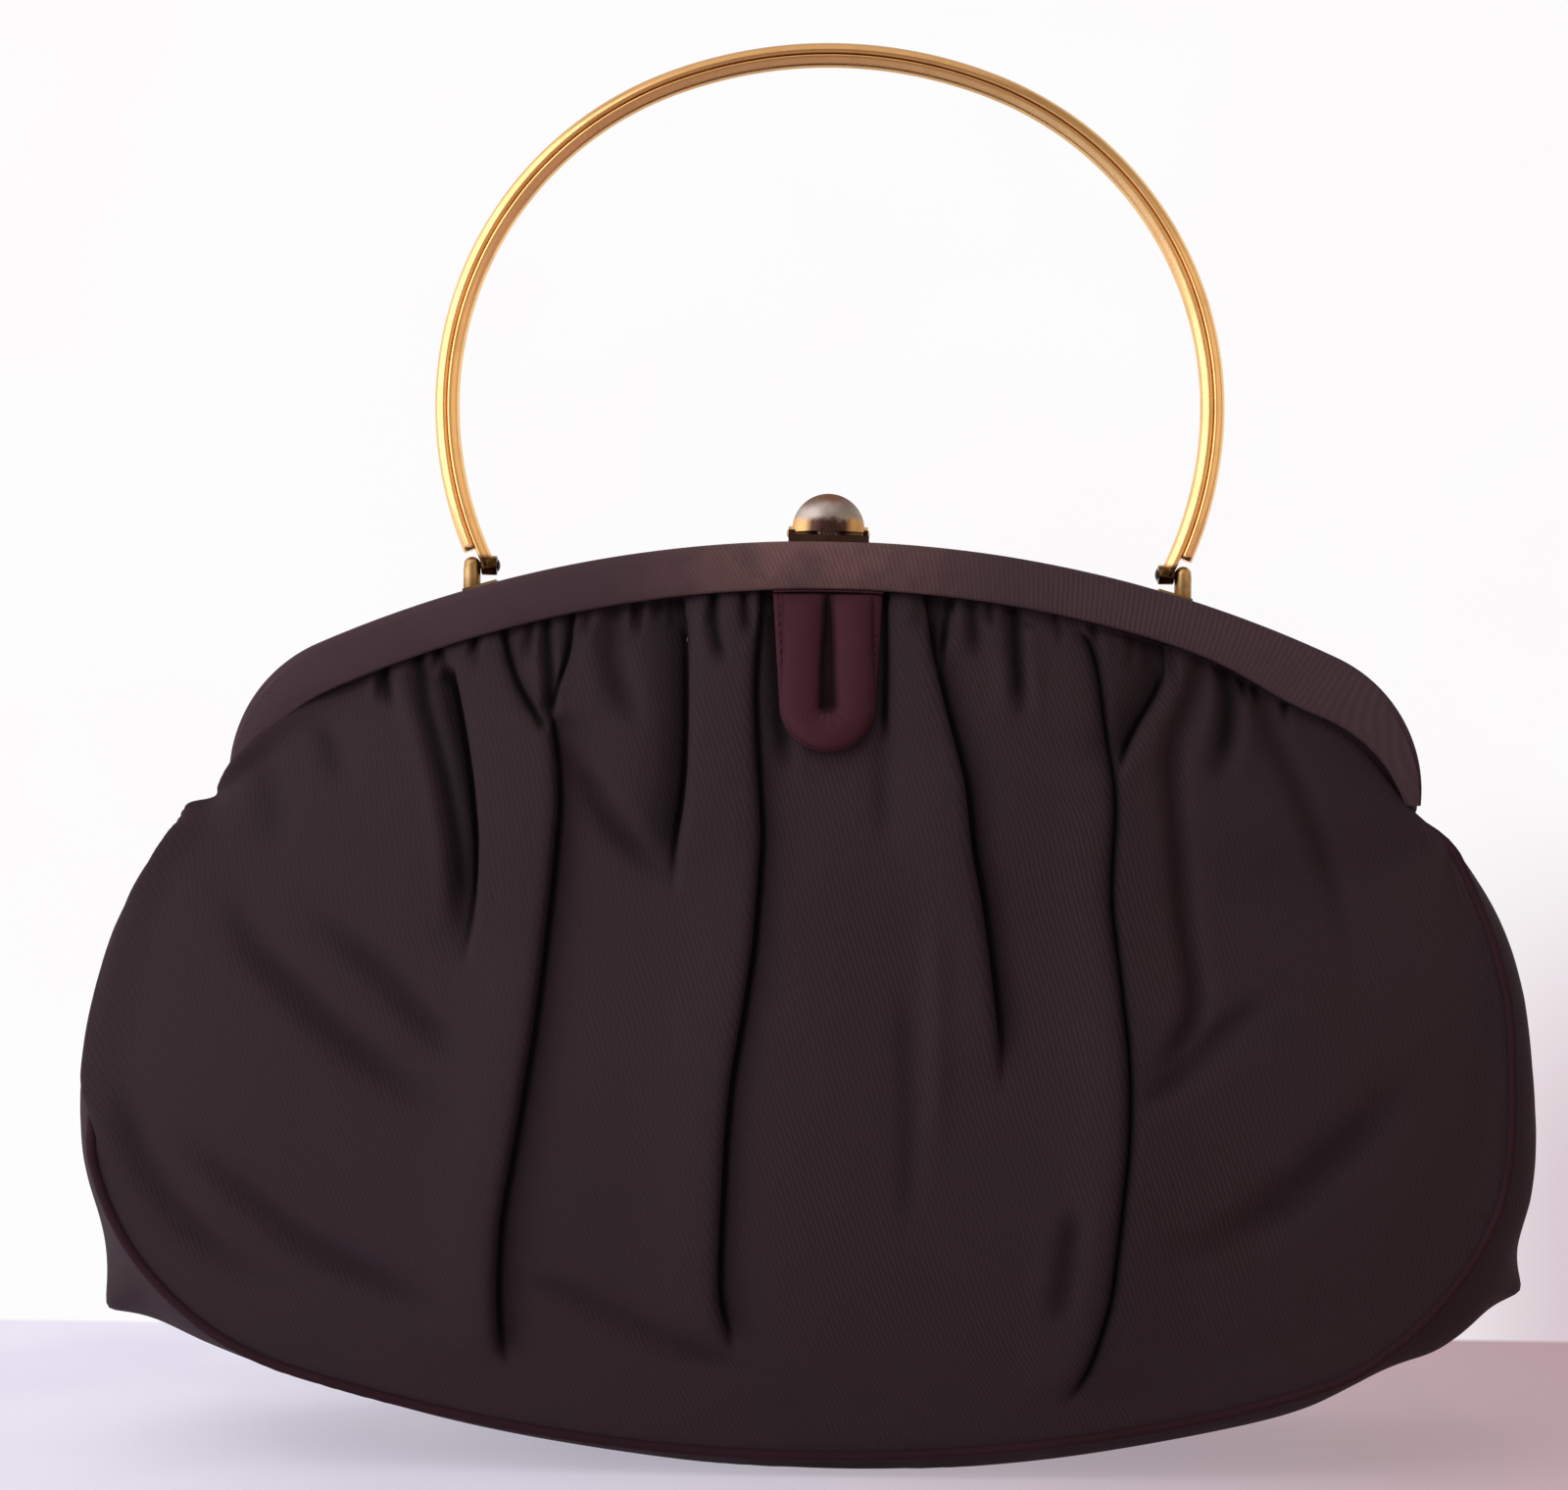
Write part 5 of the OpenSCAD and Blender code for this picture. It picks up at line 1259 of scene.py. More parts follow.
def tab_roll(shape, turn_z, top_z):
    """The roll: a soft padded tube from the band down, round and up, its legs pressed
    together at the band and apart at the turn."""
    leg = np.linspace(1, 0, 26)[:-1]
    bend = np.linspace(0, np.pi, 38)
    top = top_z - 0.35
    at_top = np.concatenate([leg, np.zeros(len(bend)), leg[::-1]])
    legs = np.zeros(len(leg))
    at_bend = np.concatenate([legs, np.sin(bend), legs])
    centre = TURN_R + (TOP_R - TURN_R) * at_top
    swell = 1.0 + 0.02 * np.sin(np.arange(len(at_top)) * 0.31)
    half = (TURN_HALF + (TOP_HALF - TURN_HALF) * at_top) * swell
    cos_b = np.concatenate([legs + 1, np.cos(bend), legs - 1])
    leg_z = turn_z + (top - turn_z) * leg
    px = -centre * cos_b
    pz = np.concatenate([leg_z, turn_z - TURN_R * np.sin(bend), leg_z[::-1]])
    sides = 32
    a = 2 * np.pi * np.arange(sides) / sides
    step = np.arange(len(px))
    across = half[:, None] * np.cos(a)[None]
    rise = np.sign(np.sin(a)) * np.abs(np.sin(a)) ** 0.85
    inner = np.clip(-np.cos(a), 0, 1)[None] * np.maximum(rise, 0)[None]
    pucker = at_bend[:, None] * (0.22 * np.sin(step * 1.15)[:, None] * inner - 0.5 * inner)
    raised = np.where(rise > 0, ROLL_RISE, ROLL_UNDER)[None] * rise[None] * swell[:, None] + pucker
    x = px[:, None] - cos_b[:, None] * across
    z = pz[:, None] - at_bend[:, None] * across
    end = np.clip(np.minimum(step, step[::-1]) / 2.0, 0.45, 1)[:, None]
    y = -(tab_depth(shape, z) + 0.75 + raised * end)
    way = np.concatenate([[0], np.cumsum(np.hypot(np.diff(px), np.diff(pz)))])
    uv = np.stack(np.broadcast_arrays((np.arange(sides + 1) / sides * 18)[None], way[:, None]), -1)
    roll = grid_piece("tab_padded_roll", np.stack([x, y, z], -1), uv, wrap=True, caps=True, flip=True)
    # Painted shade on the roll's inner side, where its two legs face each other
    shade(roll, np.broadcast_to(0.85 * smoothstep(0.62, 0.97, -np.cos(a))[None], x.shape))
    wear(roll, trim_twill())
    return roll


class BAG_OT_pull_tab(Operator):
    """Make the pull tab: a stitched flange with a padded roll bent into a U"""

    bl_idname = "bag.pull_tab"
    bl_label = "Pull tab"

    def execute(self, context):
        shape = Shape(context.scene)
        low, high = reach("tab_backing")
        half_w, low_z, top_z = high[0], low[2], high[2]
        turn_z = low_z + (half_w - TAB_TAPER)
        flange = tab_flange(shape, half_w, turn_z, top_z)
        roll = tab_roll(shape, turn_z, top_z)
        for obj in (flange, roll):
            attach(obj, "pull_tab")
        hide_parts("tab_backing")
        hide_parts("tab_roll")
        return {"FINISHED"}


def thicken(obj, thickness):
    """Gives a sheet its thickness on the inner side, for good."""
    modifier = obj.modifiers.new("thickness", "SOLIDIFY")
    modifier.thickness = thickness * MM
    modifier.offset = -1
    settle(obj)


def settle(obj):
    """Turns an object with its modifiers into a plain mesh."""
    graph = bpy.context.evaluated_depsgraph_get()
    mesh = bpy.data.meshes.new_from_object(obj.evaluated_get(graph))
    obj.modifiers.clear()
    obj.data = mesh


# Points across the pocket, and the row under its hem that is sewn
POCKET_POINTS = 81
POCKET_SEWN_ROW = 57


class BAG_OT_lining(Operator):
    """Make the lining of the front, the back and the gusset, and the inner pocket"""

    bl_idname = "bag.lining"
    bl_label = "Lining and pocket"

    def execute(self, context):
        shape = Shape(context.scene)
        c = shape.c
        material = lining_satin()
        columns, rows = LINING_GRID
        for name, side in (("front_lining_cloth", -1), ("back_lining_cloth", 1)):
            u, t = np.meshgrid(np.linspace(-0.97, 0.97, columns + 1), np.linspace(0, 1, rows + 1))
            x, z, depth = shape.body(u, t, LINING_INSET, LINING_TOP_D + c.lining_gap)
            even = depth[:1] + (depth[-1:] - depth[:1]) * t
            depth = even + blurred(depth - even, 4) - c.lining_gap
            uneven = ripple(x, z * 0.35, seed=31 + side, size=22, strength=0.28) - 0.3
            depth += uneven * smoothstep(0, 0.1, t) * smoothstep(1, 0.93, t)
            points = np.stack([x + shape.drift(x, z, side < 0), side * depth, z], -1)
            every_share = np.linspace(-1, 1, 400)
            share = np.interp(x[-1], shape.band_line(CLOTH_TOP, every_share)[0], every_share)
            top_x, top_z = shape.band_line(LINING_HEM_TOP, share)
            top = np.stack([top_x, np.full_like(top_x, side * LINING_TOP_D), top_z], -1)[None]
            points = np.concatenate([points, top])
            obj = grid_piece(name, points, front_view(points), flip=side < 0)
            wear(obj, material)
            if side < 0:
                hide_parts("lining_front", "lining_front_top")
                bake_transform(obj)
            else:
                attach(obj, "bag")
                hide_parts("lining_back")
        points, uv = gusset_points(shape, LINING_INSET, 5.6, *GUSSET_LINING_GRID, False)
        gusset = grid_piece("gusset_lining_cloth", points, uv)
        wear(gusset, material)
        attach(gusset, "bag")
        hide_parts("lining_gusset")
        self.pocket(shape, material)
        return {"FINISHED"}

    def pocket(self, shape, material):
        """The open pocket that is sewn to the back lining."""
        low, high = reach("inner_pocket")
        half_w, low_z, top_z = high[0], low[2], high[2]
        u, v = np.meshgrid(np.linspace(-1, 1, POCKET_POINTS), np.linspace(0, 1, 61))
        x, z = half_w * u, low_z + (top_z - low_z) * v
        # The lining behind it, from which the pocket takes its depth
        across, up = np.meshgrid(np.linspace(-0.75, 0.75, 61), np.linspace(0, 0.62, 90))
        bx, bz, bd = shape.body(across, up, LINING_INSET, LINING_TOP_D + shape.c.lining_gap)
        depth = np.zeros_like(x)
        for j in range(x.shape[1]):
            at = np.abs(bx[40] - x[0, j]).argmin()
            depth[:, j] = np.interp(z[:, j], bz[:, at], bd[:, at])
        depth = blurred(blurred(depth, 2, 1), 2, 0) - shape.c.lining_gap - 1.0
        slack = 2.4 * (1 - u**2) * v**2 + 0.25 * np.sin(x * 0.35) * v
        points = np.stack([x, depth - slack, z], -1)
        hem = points[-1:].copy()
        hem[..., 2] += 0.4
        hem[..., 1] -= 0.5
        under = points[-6:-5].copy()
        under[..., 1] -= 0.7
        points = np.concatenate([points, hem, under])
        obj = grid_piece("pocket_cloth", points, front_view(points))
        wear(obj, material)
        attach(obj, "bag")
        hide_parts("inner_pocket")


def stitch_tree(name):
    """A Geometry Nodes tree that sews one stitch per spacing along a line."""
    tree = bpy.data.node_groups.new(name, "GeometryNodeTree")
    face = tree.interface
    face.new_socket("Geometry", in_out="INPUT", socket_type="NodeSocketGeometry")
    for label, value in (("Spacing", 2.0 * MM), ("Stitch length", 1.5 * MM), ("Thread radius", 0.2 * MM)):
        socket = face.new_socket(label, in_out="INPUT", socket_type="NodeSocketFloat")
        socket.default_value, socket.subtype = value, "DISTANCE"
    face.new_socket("Thread", in_out="INPUT", socket_type="NodeSocketMaterial")
    face.new_socket("Geometry", in_out="OUTPUT", socket_type="NodeSocketGeometry")
    start, end, curve, points, ball, half, size, place, real, smooth, paint = (
        tree.nodes.new(kind)
        for kind in (
            "NodeGroupInput", "NodeGroupOutput", "GeometryNodeMeshToCurve", "GeometryNodeCurveToPoints",
            "GeometryNodeMeshUVSphere", "ShaderNodeMath", "ShaderNodeCombineXYZ",
            "GeometryNodeInstanceOnPoints", "GeometryNodeRealizeInstances", "GeometryNodeSetShadeSmooth",
            "GeometryNodeSetMaterial",
        )
    )
    points.mode = "LENGTH"
    half.operation = "MULTIPLY"
    half.inputs[1].default_value = 0.5
    for key, value in (("Segments", 6), ("Rings", 5), ("Radius", 1.0)):
        ball.inputs[key].default_value = value
    for source, output, target, socket in (
        (start, "Geometry", curve, "Mesh"),
        (curve, "Curve", points, "Curve"),
        (start, "Spacing", points, "Length"),
        (start, "Stitch length", half, 0),
        (start, "Thread radius", size, "X"),
        (start, "Thread radius", size, "Y"),
        (half, 0, size, "Z"),
        (points, "Points", place, "Points"),
        (ball, "Mesh", place, "Instance"),
        (points, "Rotation", place, "Rotation"),
        (size, "Vector", place, "Scale"),
        (place, "Instances", real, "Geometry"),
        (real, "Geometry", smooth, "Geometry"),
        (smooth, "Geometry", paint, "Geometry"),
        (start, "Thread", paint, "Material"),
        (paint, "Geometry", end, "Geometry"),
    ):
        tree.links.new(source.outputs[output], target.inputs[socket])
    return tree


def sew(name, tree, lines, thread, spacing, stitch, radius):
    """Stitches along lines of points in millimetres, as one plain mesh."""
    points, edges = [], []
    for line in lines:
        first = len(points)
        points += (np.asarray(line) * MM).tolist()
        edges += [(first + k, first + k + 1) for k in range(len(line) - 1)]
    mesh = bpy.data.meshes.new(name)
    mesh.from_pydata(points, edges, [])
    obj = bpy.data.objects.new(name, mesh)
    bpy.context.scene.collection.objects.link(obj)
    modifier = obj.modifiers.new("stitches", "NODES")
    modifier.node_group = tree
    sizes = {"Spacing": spacing, "Stitch length": stitch, "Thread radius": radius}
    values = {"Thread": thread, **{label: value * MM for label, value in sizes.items()}}
    for item in tree.interface.items_tree:
        if item.item_type == "SOCKET" and item.in_out == "INPUT" and item.name in values:
            modifier[item.identifier] = values[item.name]
    settle(obj)
    return obj


class BAG_OT_stitches(Operator):
    """Sew the visible stitches of the pull tab and of the pocket's hem"""

    bl_idname = "bag.stitches"
    bl_label = "Stitches"

    def execute(self, context):
        shape = Shape(context.scene)
        k = context.scene.bag_colours
        thread = thread_material(tuple(k.thread))
        tree = stitch_tree("stitches_along_a_line")
        low, high = reach("tab_backing")
        half_w, top_z = high[0], high[2]
        turn_z = low[2] + half_w - TAB_TAPER
        lines = []
        for side in (-1, 1):
            z = np.linspace(top_z - 0.8, turn_z + 8, 24)
            x = side * (half_w - 0.75 - TAB_TAPER * (top_z - z) / (top_z - turn_z))
            lines.append(np.stack([x, -(tab_depth(shape, z) + 0.68), z], -1))
        obj = sew("tab_stitches", tree, lines, thread, 1.9, 1.3, 0.16)
        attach(obj, "pull_tab")
        pocket = bpy.data.objects["pocket_cloth"].data
        co = np.array([v.co for v in pocket.vertices]) / MM
        row = co.reshape(-1, POCKET_POINTS, 3)[POCKET_SEWN_ROW].copy()
        row[:, 1] -= 0.15
        obj = sew("pocket_stitches", tree, [row[1:-1]], thread, 2.6, 1.8, 0.18)
        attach(obj, "bag")
        return {"FINISHED"}


def thread_material(base):
    """Twisted sewing thread."""
    m = Finish("sewing_thread")
    place = m.place("object")
    twist = m.bands(m.place("object", turn=0.6), 0.28, 0.3, 1.0)
    clouds = m.noise(place, 3, 2.0, 0.5)
    ground = m.mix(m.spread(twist, 0.2, 0.8), tint(base, 0.7), tint(base, 1.3))
    m.surface(
        Base_Color=m.mix(m.maths("MULTIPLY", clouds, 0.3), ground, tint(base, 1.6)),
        Roughness=m.spread(clouds, 0.2, 0.8, 0.6, 0.75),
        Specular_IOR_Level=0.15,
        Normal=m.bump(twist, 0.05 * MM, 0.6),
    )
    return m.material


# Half width of the groove between the rails, and the distance that keeps the two
# rails' flat faces apart
GROOVE_HALF_W = 0.22
RAIL_GAP = 0.02
# Chamfer of the bored ends
EYE_CHAMFER = 0.2


def handle_stations(h, top_z, pivot_z, from_z, inset):
    """Centre, outer radius and angle at each place along the handle, from its right
    end to its left one."""
    wide_z, crown_z, leg_x = pivot_z + h.wide_up, top_z - h.crown_r, h.half_w - h.leg_r
    side_r = ((wide_z - crown_z) ** 2 + h.half_w**2 - h.crown_r**2) / (2 * (h.half_w - h.crown_r))
    side_x = h.half_w - side_r
    lean = math.atan2(wide_z - crown_z, side_x)
    start = math.asin((from_z - wide_z) / (h.leg_r - inset))
    half = [(leg_x, wide_z, h.leg_r, a) for a in np.linspace(start, 0, 26)[:-1]]
    half += [(side_x, wide_z, side_r, a) for a in np.linspace(0, lean, 50)[:-1]]
    half += [(0, crown_z, h.crown_r, a) for a in np.linspace(lean, np.pi / 2, 40)]
    return np.array(half + [(-x, z, r, np.pi - a) for x, z, r, a in half[-2::-1]])


def handle_rail(name, h, top_z, pivot, from_z, side):
    """One rail of the handle, the outer (side 1) or the inner one: half of a dome in
    section, with a flat inner face."""
    half_w = h.band_w / 2
    phi = np.linspace(-1, 1, 27) * np.pi / 2
    off, rise = half_w * np.cos(phi), h.half_depth * np.sin(phi)
    rise = rise - np.sign(rise) * h.groove * hump(off, 0, GROOVE_HALF_W)
    rise = np.concatenate([[rise[0] + 0.5], rise, [rise[-1] - 0.5]])
    off = np.concatenate([[0], off, [0]]) + RAIL_GAP
    inset = half_w - side * off
    x, z, r, a = handle_stations(h, top_z, pivot[2], from_z, half_w * (1 - side / 2)).T[:, :, None]
    line = np.broadcast_arrays(x + (r - inset) * np.cos(a), pivot[1] - rise, z + (r - inset) * np.sin(a))
    return grid_piece(name, np.stack(line, -1), wrap=True, caps=True, flip=side > 0)


def handle_eye(name, h, x, pivot):
    """A bored end of the inner rail: a ring round the pivot."""
    half = [(0.9, h.eye_r), (1, h.eye_r - EYE_CHAMFER), (1, h.bore_r)]
    loop = np.array([(-share, r) for share, r in reversed(half)] + half)
    turn = np.linspace(0, 2 * np.pi, 41)[:, None]
    along, out = x + loop[:, 0] * h.eye_half_w, loop[:, 1]
    ring = np.broadcast_arrays(along, pivot[1] - out * np.cos(turn), pivot[2] + out * np.sin(turn))
    return grid_piece(name, np.stack(ring, -1), wrap=True)


def joined(parts):
    """The first of these objects, with the others joined to it and their doubled points merged."""
    with bpy.context.temp_override(active_object=parts[0], selected_editable_objects=parts):
        bpy.ops.object.join()
    mesh = bmesh.new()
    mesh.from_mesh(parts[0].data)
    bmesh.ops.remove_doubles(mesh, verts=mesh.verts, dist=0.001 * MM)
    mesh.to_mesh(parts[0].data)
    mesh.free()
    return parts[0]


def handle_brass():
    """The handle's brass, with painted shade: darker towards its crown, which mirrors less light, and nearly
    black at the pivots, where shadow falls.
    """
    k = bpy.context.scene.bag_colours
    bright, dull = tuple(k.brass_bright), tuple(k.brass_dull)
    crown, pivot = float(reach("handle_band")[1][2]), float(sum(reach("left_pivot_rivet"))[2] / 2)
    # Painted shade: the dull tone over the crown, and near black at the pivots
    shades = [(crown + 25, crown - 45, dull), (pivot + 1.2, pivot + 2.4, tint(dull, 0.2))]
    return own_material("handle_brass", brass, bright, dull, 0.2, 0.17, shades=shades)


class BAG_OT_handle(Operator):
    """Make the handle: two domed brass rails side by side, the inner one bored at both ends for the pivots"""

    bl_idname = "bag.handle"
    bl_label = "Handle"

    def execute(self, context):
        h = Millimetres(context.scene.bag_handle)
        top_z = float(reach("handle_band")[1][2])
        pivot = sum(reach("left_pivot_rivet")) / 2
        outer = handle_rail("handle_rails", h, top_z, pivot, pivot[2] + h.rail_cut, 1)
        inner = handle_rail("inner_rail", h, top_z, pivot, pivot[2], -1)
        inner_r = h.leg_r - 0.75 * h.band_w
        eye_x = h.half_w - h.leg_r + math.sqrt(inner_r**2 - h.wide_up**2)
        eyes = [handle_eye(f"{side}_eye", h, at, pivot) for side, at in (("left", -eye_x), ("right", eye_x))]
        obj = joined([outer, inner] + eyes)
        wear(obj, handle_brass())
        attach(obj, "handle")
        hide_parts("handle_band")
        return {"FINISHED"}


# Tones of the fittings that hardly show. The near-black brass is painted shade on the catch plate and the pivot
# rivets, which lie in shadow, and is also used on the hinge rivets.
SHADOW_DARK_BRASS = (0.055, 0.030, 0.024)
STRIP_STEEL = (0.10, 0.070, 0.062)
SPRING_STEEL = (0.6, 0.6, 0.6)
CORD_DYE = (0.045, 0.028, 0.028)
PRESSED_BOARD = (0.42, 0.32, 0.2)


class BAG_OT_metalwork(Operator):
    """Finish the posts, the clasp, the frame's steel and the hidden parts"""

    bl_idname = "bag.metalwork"
    bl_label = "Metalwork and hidden parts"

    def execute(self, context):
        k = context.scene.bag_colours
        bright, dull = tuple(k.brass_bright), tuple(k.brass_dull)
        foot = float(reach("left_handle_post")[1][2])
        # Painted shade: each post turns near black below its top few millimetres, down where it meets the frame
        painted_foot_shade = [(foot - 9, foot - 2.5, tint(dull, 0.2))]
        posts = brass("post_brass", tint(bright, 0.55), tint(dull, 0.2), 0.6, 0.3, shades=painted_foot_shade)
        fittings = brass("fitting_brass", tint(bright, 0.55), tint(dull, 0.6), 0.6, 0.3)
        low, high = reach("clasp_base_plate")
        plate_z = float(low[2] + high[2]) / 2
        clasp = dome_with_painted_reflections("clasp_brass", tuple(k.clasp), bright, reach("clasp_thumb_piece"), plate_z)
        # Near-black brass: painted shade on the catch plate and the pivot rivets
        dark = brass("dark_brass", SHADOW_DARK_BRASS, tint(dull, 0.08), 0.8, 0.45)
        strip = steel("frame_strip", STRIP_STEEL, 0.45)
        wire = steel("spring_wire", SPRING_STEEL, 0.25)
        cord = twisted("dyed_cord", CORD_DYE, 0.9)
        board = fibre_board("bottom_board", PRESSED_BOARD)
        finishes = {
            "clasp_thumb_piece": clasp,
            "clasp_pin": fittings,
            "clasp_base_plate": clasp,
            "clasp_catch_plate": dark,
            "clasp_spring": wire,
            "front_frame_channel": strip,
            "back_frame_channel": strip,
            "front_binding_cord": cord,
            "back_binding_cord": cord,
            "base_board": board,
            "tab_stay": stay_twill(tuple(k.trim)),
        }
        for side in ("left", "right"):
            finishes[f"{side}_handle_post"] = posts
            finishes[f"{side}_pivot_rivet"] = dark
            finishes[f"{side}_hinge_rivet"] = dark
        for node, material in finishes.items():
            wear(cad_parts[node], material)
        return {"FINISHED"}


def stay_twill(base):
    """The tab's woven stay, on Object coordinates because it is a node of the frame."""
    return twill("stay_twill", base, tint(base, 1.2), 0.7, 0.5, source="object", rough=0.7)


# The backdrop, in metres: how far behind the bag its wall stands, how far it
# reaches sideways, forwards and up, and the radius of its corner
WALL_Y = 0.094
STAGE_W, STAGE_D, STAGE_H = 1.6, 1.4, 1.3
STAGE_CORNER_R = 0.001
# The world's layers: the light that it gives, what metal mirrors and what the
# camera sees, each with its strength
WORLD_LIGHT = (0.86, 0.88, 0.95, 1), 0.22
WORLD_MIRRORED = (1.0, 0.86, 0.72, 1), 0.5
WORLD_SEEN = (1, 1, 1, 1), 1.0
# Name, place, what it points at, size, power and colour of each lamp
LAMPS = (
    ("window_lamp", (-0.84, -0.42, 0.54), (0, 0, 0.10), 1.3, 10.2, (1.0, 0.97, 0.94)),
    ("fill_lamp", (1.00, -0.75, 0.35), (0, 0, 0.10), 1.1, 1.7, (1.0, 0.74, 0.52)),
    ("top_lamp", (-0.1, -0.35, 1.30), (0, 0, 0.12), 1.0, 2.4, (0.96, 0.97, 1.0)),
)
# The camera: its place in metres, its slight roll in radians, and its sensor and
# focal length in millimetres
CAMERA_PLACE = (-0.008, -0.520, 0.1341)
CAMERA_ROLL = 0.0141
SENSOR, LENS = 36, 61.8


class BAG_OT_stage(Operator):
    """Set the pale floor and wall, the soft lamps and the camera"""

    bl_idname = "bag.stage"
    bl_label = "Stage"

    def execute(self, context):
        scene = context.scene
        r = STAGE_CORNER_R
        a = np.linspace(0, np.pi / 2, 9)
        ys = np.concatenate([[-STAGE_D], WALL_Y - r + r * np.sin(a), [WALL_Y]])
        zs = np.concatenate([[0.0], r - r * np.cos(a), [STAGE_H]])
        xs = np.linspace(-STAGE_W, STAGE_W, 3)
        grid = np.broadcast_arrays(xs[None], ys[:, None], zs[:, None])
        backdrop = grid_piece("backdrop", np.stack(grid, -1) / MM)
        wear(backdrop, backdrop_material())
        scene.world = studio_world()
        for values in LAMPS:
            lamp(*values)
        data = bpy.data.cameras.new("photo_camera")
        data.sensor_width, data.lens = SENSOR, LENS
        data.clip_start, data.clip_end = 0.01, 20
        camera = bpy.data.objects.new("photo_camera", data)
        camera.location = CAMERA_PLACE
        camera.rotation_mode = "QUATERNION"
        upright = Quaternion((1, 0, 0), math.pi / 2)
        camera.rotation_quaternion = upright @ Quaternion((0, 0, 1), CAMERA_ROLL)
        scene.collection.objects.link(camera)
        scene.camera = camera
        scene.view_settings.view_transform = "Standard"
        return {"FINISHED"}


def studio_world():
    """A world that lights the bag evenly, is warm where metal mirrors it and white to the camera."""
    world = bpy.data.worlds.new("studio")
    world.use_nodes = True
    nodes, links = world.node_tree.nodes, world.node_tree.links
    nodes.clear()
    out = nodes.new("ShaderNodeOutputWorld")
    paths = nodes.new("ShaderNodeLightPath")
    seen = nodes.new("ShaderNodeMath")
    seen.operation = "MAXIMUM"
    links.new(paths.outputs["Is Camera Ray"], seen.inputs[0])
    links.new(paths.outputs["Is Transmission Ray"], seen.inputs[1])
    below = None
    for share, (tone, strength) in (
        (None, WORLD_LIGHT),
        (paths.outputs["Is Glossy Ray"], WORLD_MIRRORED),
        (seen.outputs[0], WORLD_SEEN),
    ):
        layer = nodes.new("ShaderNodeBackground")
        layer.inputs["Color"].default_value, layer.inputs["Strength"].default_value = tone, strength
        if share is None:
            below = layer.outputs[0]
            continue
        mixed = nodes.new("ShaderNodeMixShader")
        for socket, source in enumerate((share, below, layer.outputs[0])):
            links.new(source, mixed.inputs[socket])
        below = mixed.outputs[0]
    links.new(below, out.inputs["Surface"])
    return world


def lamp(name, place, target, size, power, tone):
    """A square soft lamp that points at its target."""
    data = bpy.data.lights.new(name, "AREA")
    data.shape, data.size, data.energy, data.color = "SQUARE", size, power, tone
    obj = bpy.data.objects.new(name, data)
    obj.location = place
    way = Vector(target) - Vector(place)
    obj.rotation_mode = "QUATERNION"
    obj.rotation_quaternion = way.to_track_quat("-Z", "Y")
    bpy.context.scene.collection.objects.link(obj)


# Tones of the wall and of the floor, and the painted pinkish shade that each turns to on the right
WALL_TONES = (0.99, 0.97, 0.985), (1.0, 0.99, 1.0)
WALL_RIGHT_SHADE = (0.60, 0.46, 0.52)
FLOOR_TONES = (0.83, 0.80, 0.93), (0.88, 0.85, 0.97)
FLOOR_RIGHT_SHADE = (0.66, 0.48, 0.51)


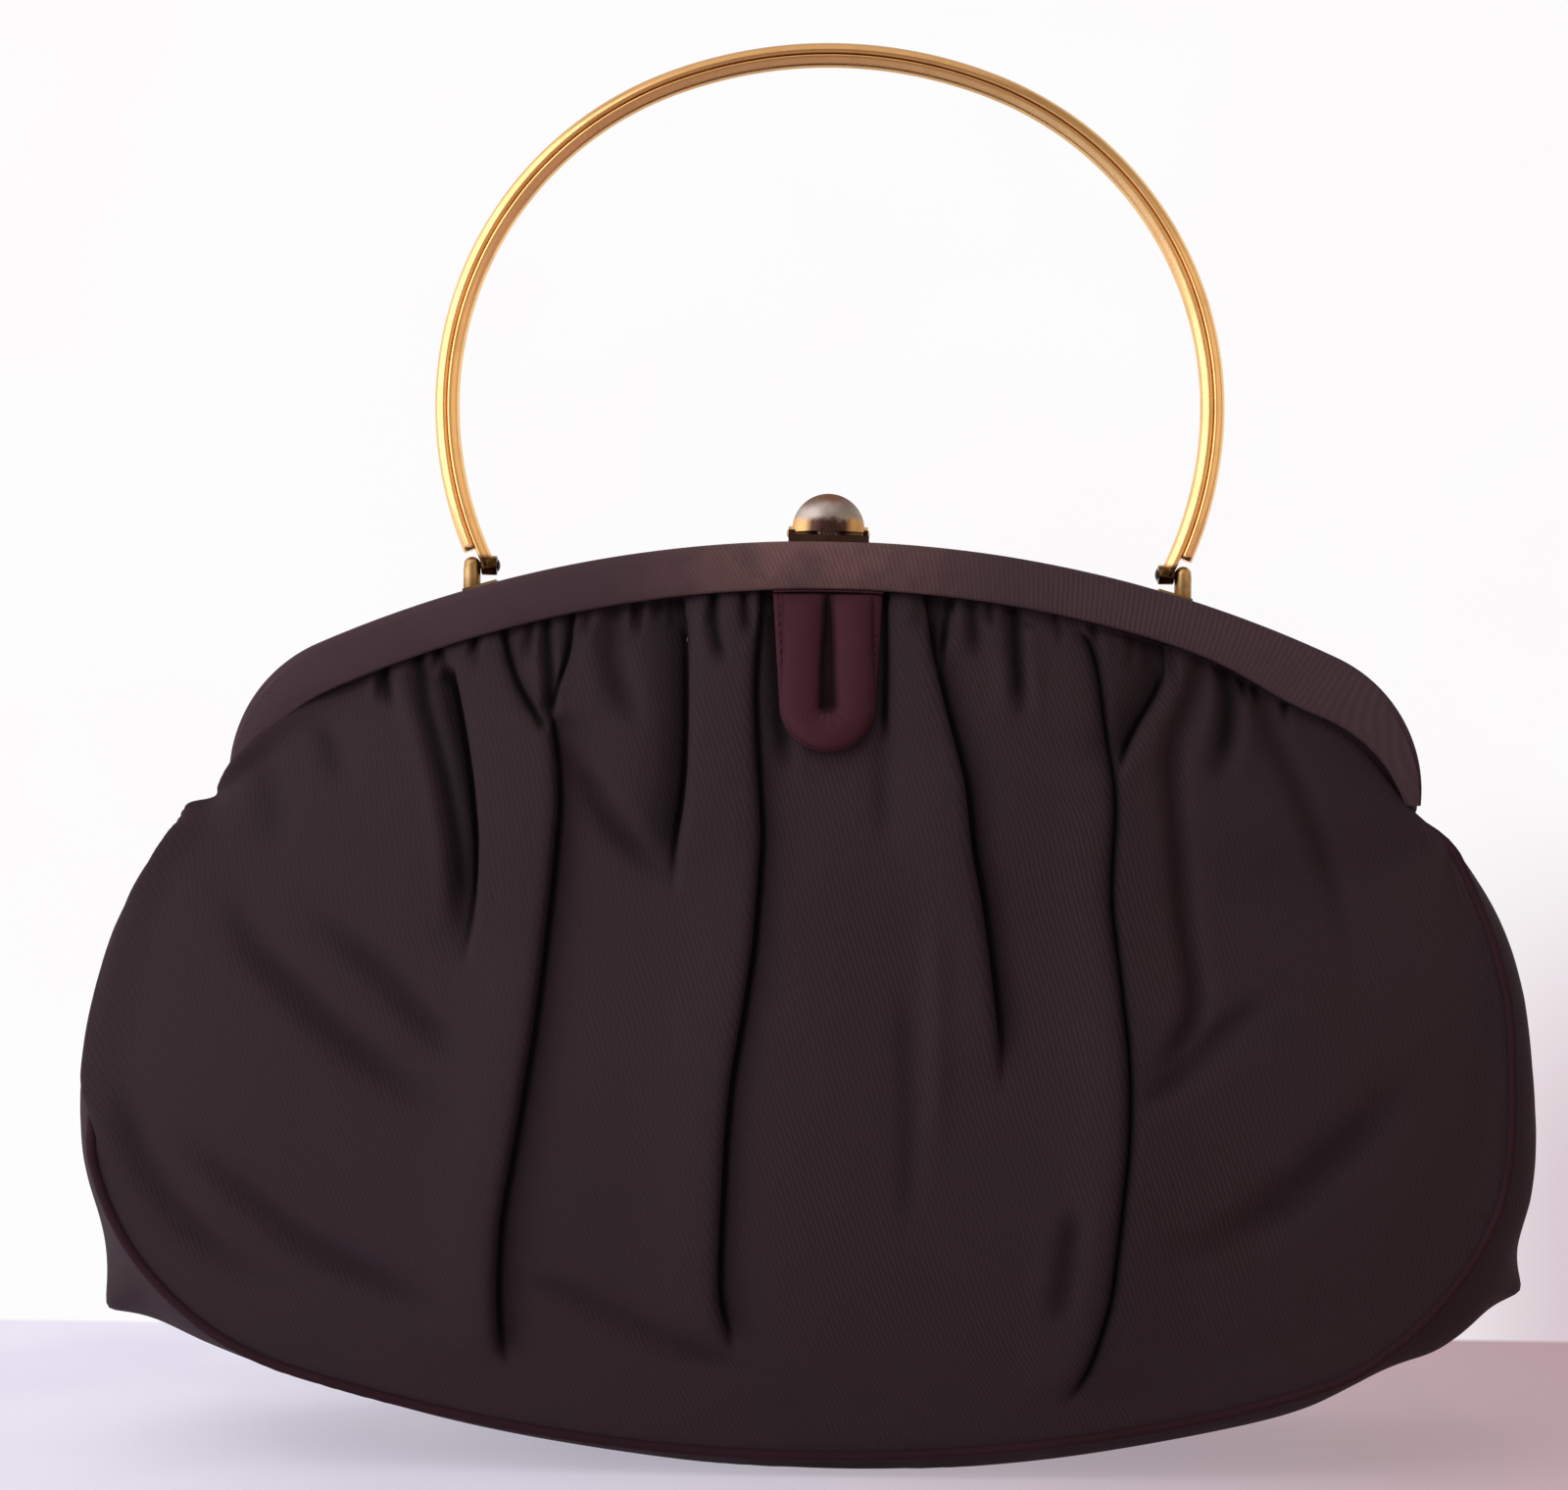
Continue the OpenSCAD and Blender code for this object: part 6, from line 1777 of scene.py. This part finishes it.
def backdrop_material():
    """Pale floor and white wall: the eye sees their own tint, the object gets only bounced light."""
    m = Finish("pale_backdrop")
    parts = m.node("ShaderNodeSeparateXYZ", {"Vector": m.place("object")}).outputs
    across, up = parts["X"], parts["Z"]
    grain = m.noise(m.place("object"), 60, 2.0, 0.5)
    uneven = m.spread(grain, 0.3, 0.7)
    wall = m.mix(uneven, *WALL_TONES)
    # Painted shade: the wall turns darker and pinkish low on the right, the floor towards the right
    corner = m.maths("MULTIPLY", m.spread(across, 115, 185), m.spread(up, 140, 30))
    wall = m.mix(m.maths("MULTIPLY", corner, 0.8), wall, WALL_RIGHT_SHADE)
    floor = m.mix(m.spread(across, -80, 170), m.mix(uneven, *FLOOR_TONES), FLOOR_RIGHT_SHADE)
    tone = m.mix(m.spread(up, 0.05, 1.0), floor, wall)
    m.surface(Base_Color=tone, Roughness=0.6, Specular_IOR_Level=0.2)
    paths = m.node("ShaderNodeLightPath")
    seen = m.maths("MAXIMUM", paths.outputs["Is Camera Ray"], paths.outputs["Is Glossy Ray"])
    glow = m.node("ShaderNodeEmission", {"Color": tone, "Strength": 1.0})
    part = m.maths("MULTIPLY", seen, m.spread(up, 0.05, 1.0, 0.5, 0.97))
    both = m.node("ShaderNodeMixShader", {0: part, 1: m.shader.outputs["BSDF"], 2: glow.outputs["Emission"]})
    # From behind the wall is clear, so that it hides nothing of the bag's back
    behind = m.node("ShaderNodeNewGeometry").outputs["Backfacing"]
    clear = m.node("ShaderNodeBsdfTransparent").outputs["BSDF"]
    both = m.node("ShaderNodeMixShader", {0: behind, 1: both.outputs["Shader"], 2: clear})
    m.tree.links.new(both.outputs[0], m.out.inputs["Surface"])
    return m.material


PIECES = (
    BAG_OT_front_cloth,
    BAG_OT_back_cloth,
    BAG_OT_gusset_cloth,
    BAG_OT_piping,
    BAG_OT_frame_cloth,
    BAG_OT_pull_tab,
    BAG_OT_handle,
    BAG_OT_lining,
    BAG_OT_stitches,
    BAG_OT_metalwork,
    BAG_OT_stage,
)


class BAG_PT_panel(Panel):
    """Lists the sizes and the makers of the bag"""

    bl_label = "Framed evening bag"
    bl_space_type = "VIEW_3D"
    bl_region_type = "UI"
    bl_category = "Bag"

    def draw(self, context):
        for made in PIECES:
            self.layout.operator(made.bl_idname)
        scene = context.scene
        for group in (scene.bag_frame, scene.bag_handle, scene.bag_cloth, scene.bag_colours):
            box = self.layout.box()
            for name in group.__annotations__:
                box.prop(group, name)


CLASSES = (BagFrameSizes, BagHandleSizes, BagClothSizes, BagColours, *PIECES, BAG_PT_panel)


def register():
    """Adds the classes and the bag's sizes and colours."""
    for made in CLASSES:
        bpy.utils.register_class(made)
    bpy.types.Scene.bag_frame = PointerProperty(type=BagFrameSizes)
    bpy.types.Scene.bag_handle = PointerProperty(type=BagHandleSizes)
    bpy.types.Scene.bag_cloth = PointerProperty(type=BagClothSizes)
    bpy.types.Scene.bag_colours = PointerProperty(type=BagColours)


def unregister():
    """Takes away what register added."""
    del bpy.types.Scene.bag_frame, bpy.types.Scene.bag_handle
    del bpy.types.Scene.bag_cloth, bpy.types.Scene.bag_colours
    for made in reversed(CLASSES):
        bpy.utils.unregister_class(made)


def main():
    """Makes the whole bag."""
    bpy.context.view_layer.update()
    register()
    for made in PIECES:
        group, name = made.bl_idname.split(".")
        getattr(getattr(bpy.ops, group), name)()


if __name__ == "__main__":
    main()
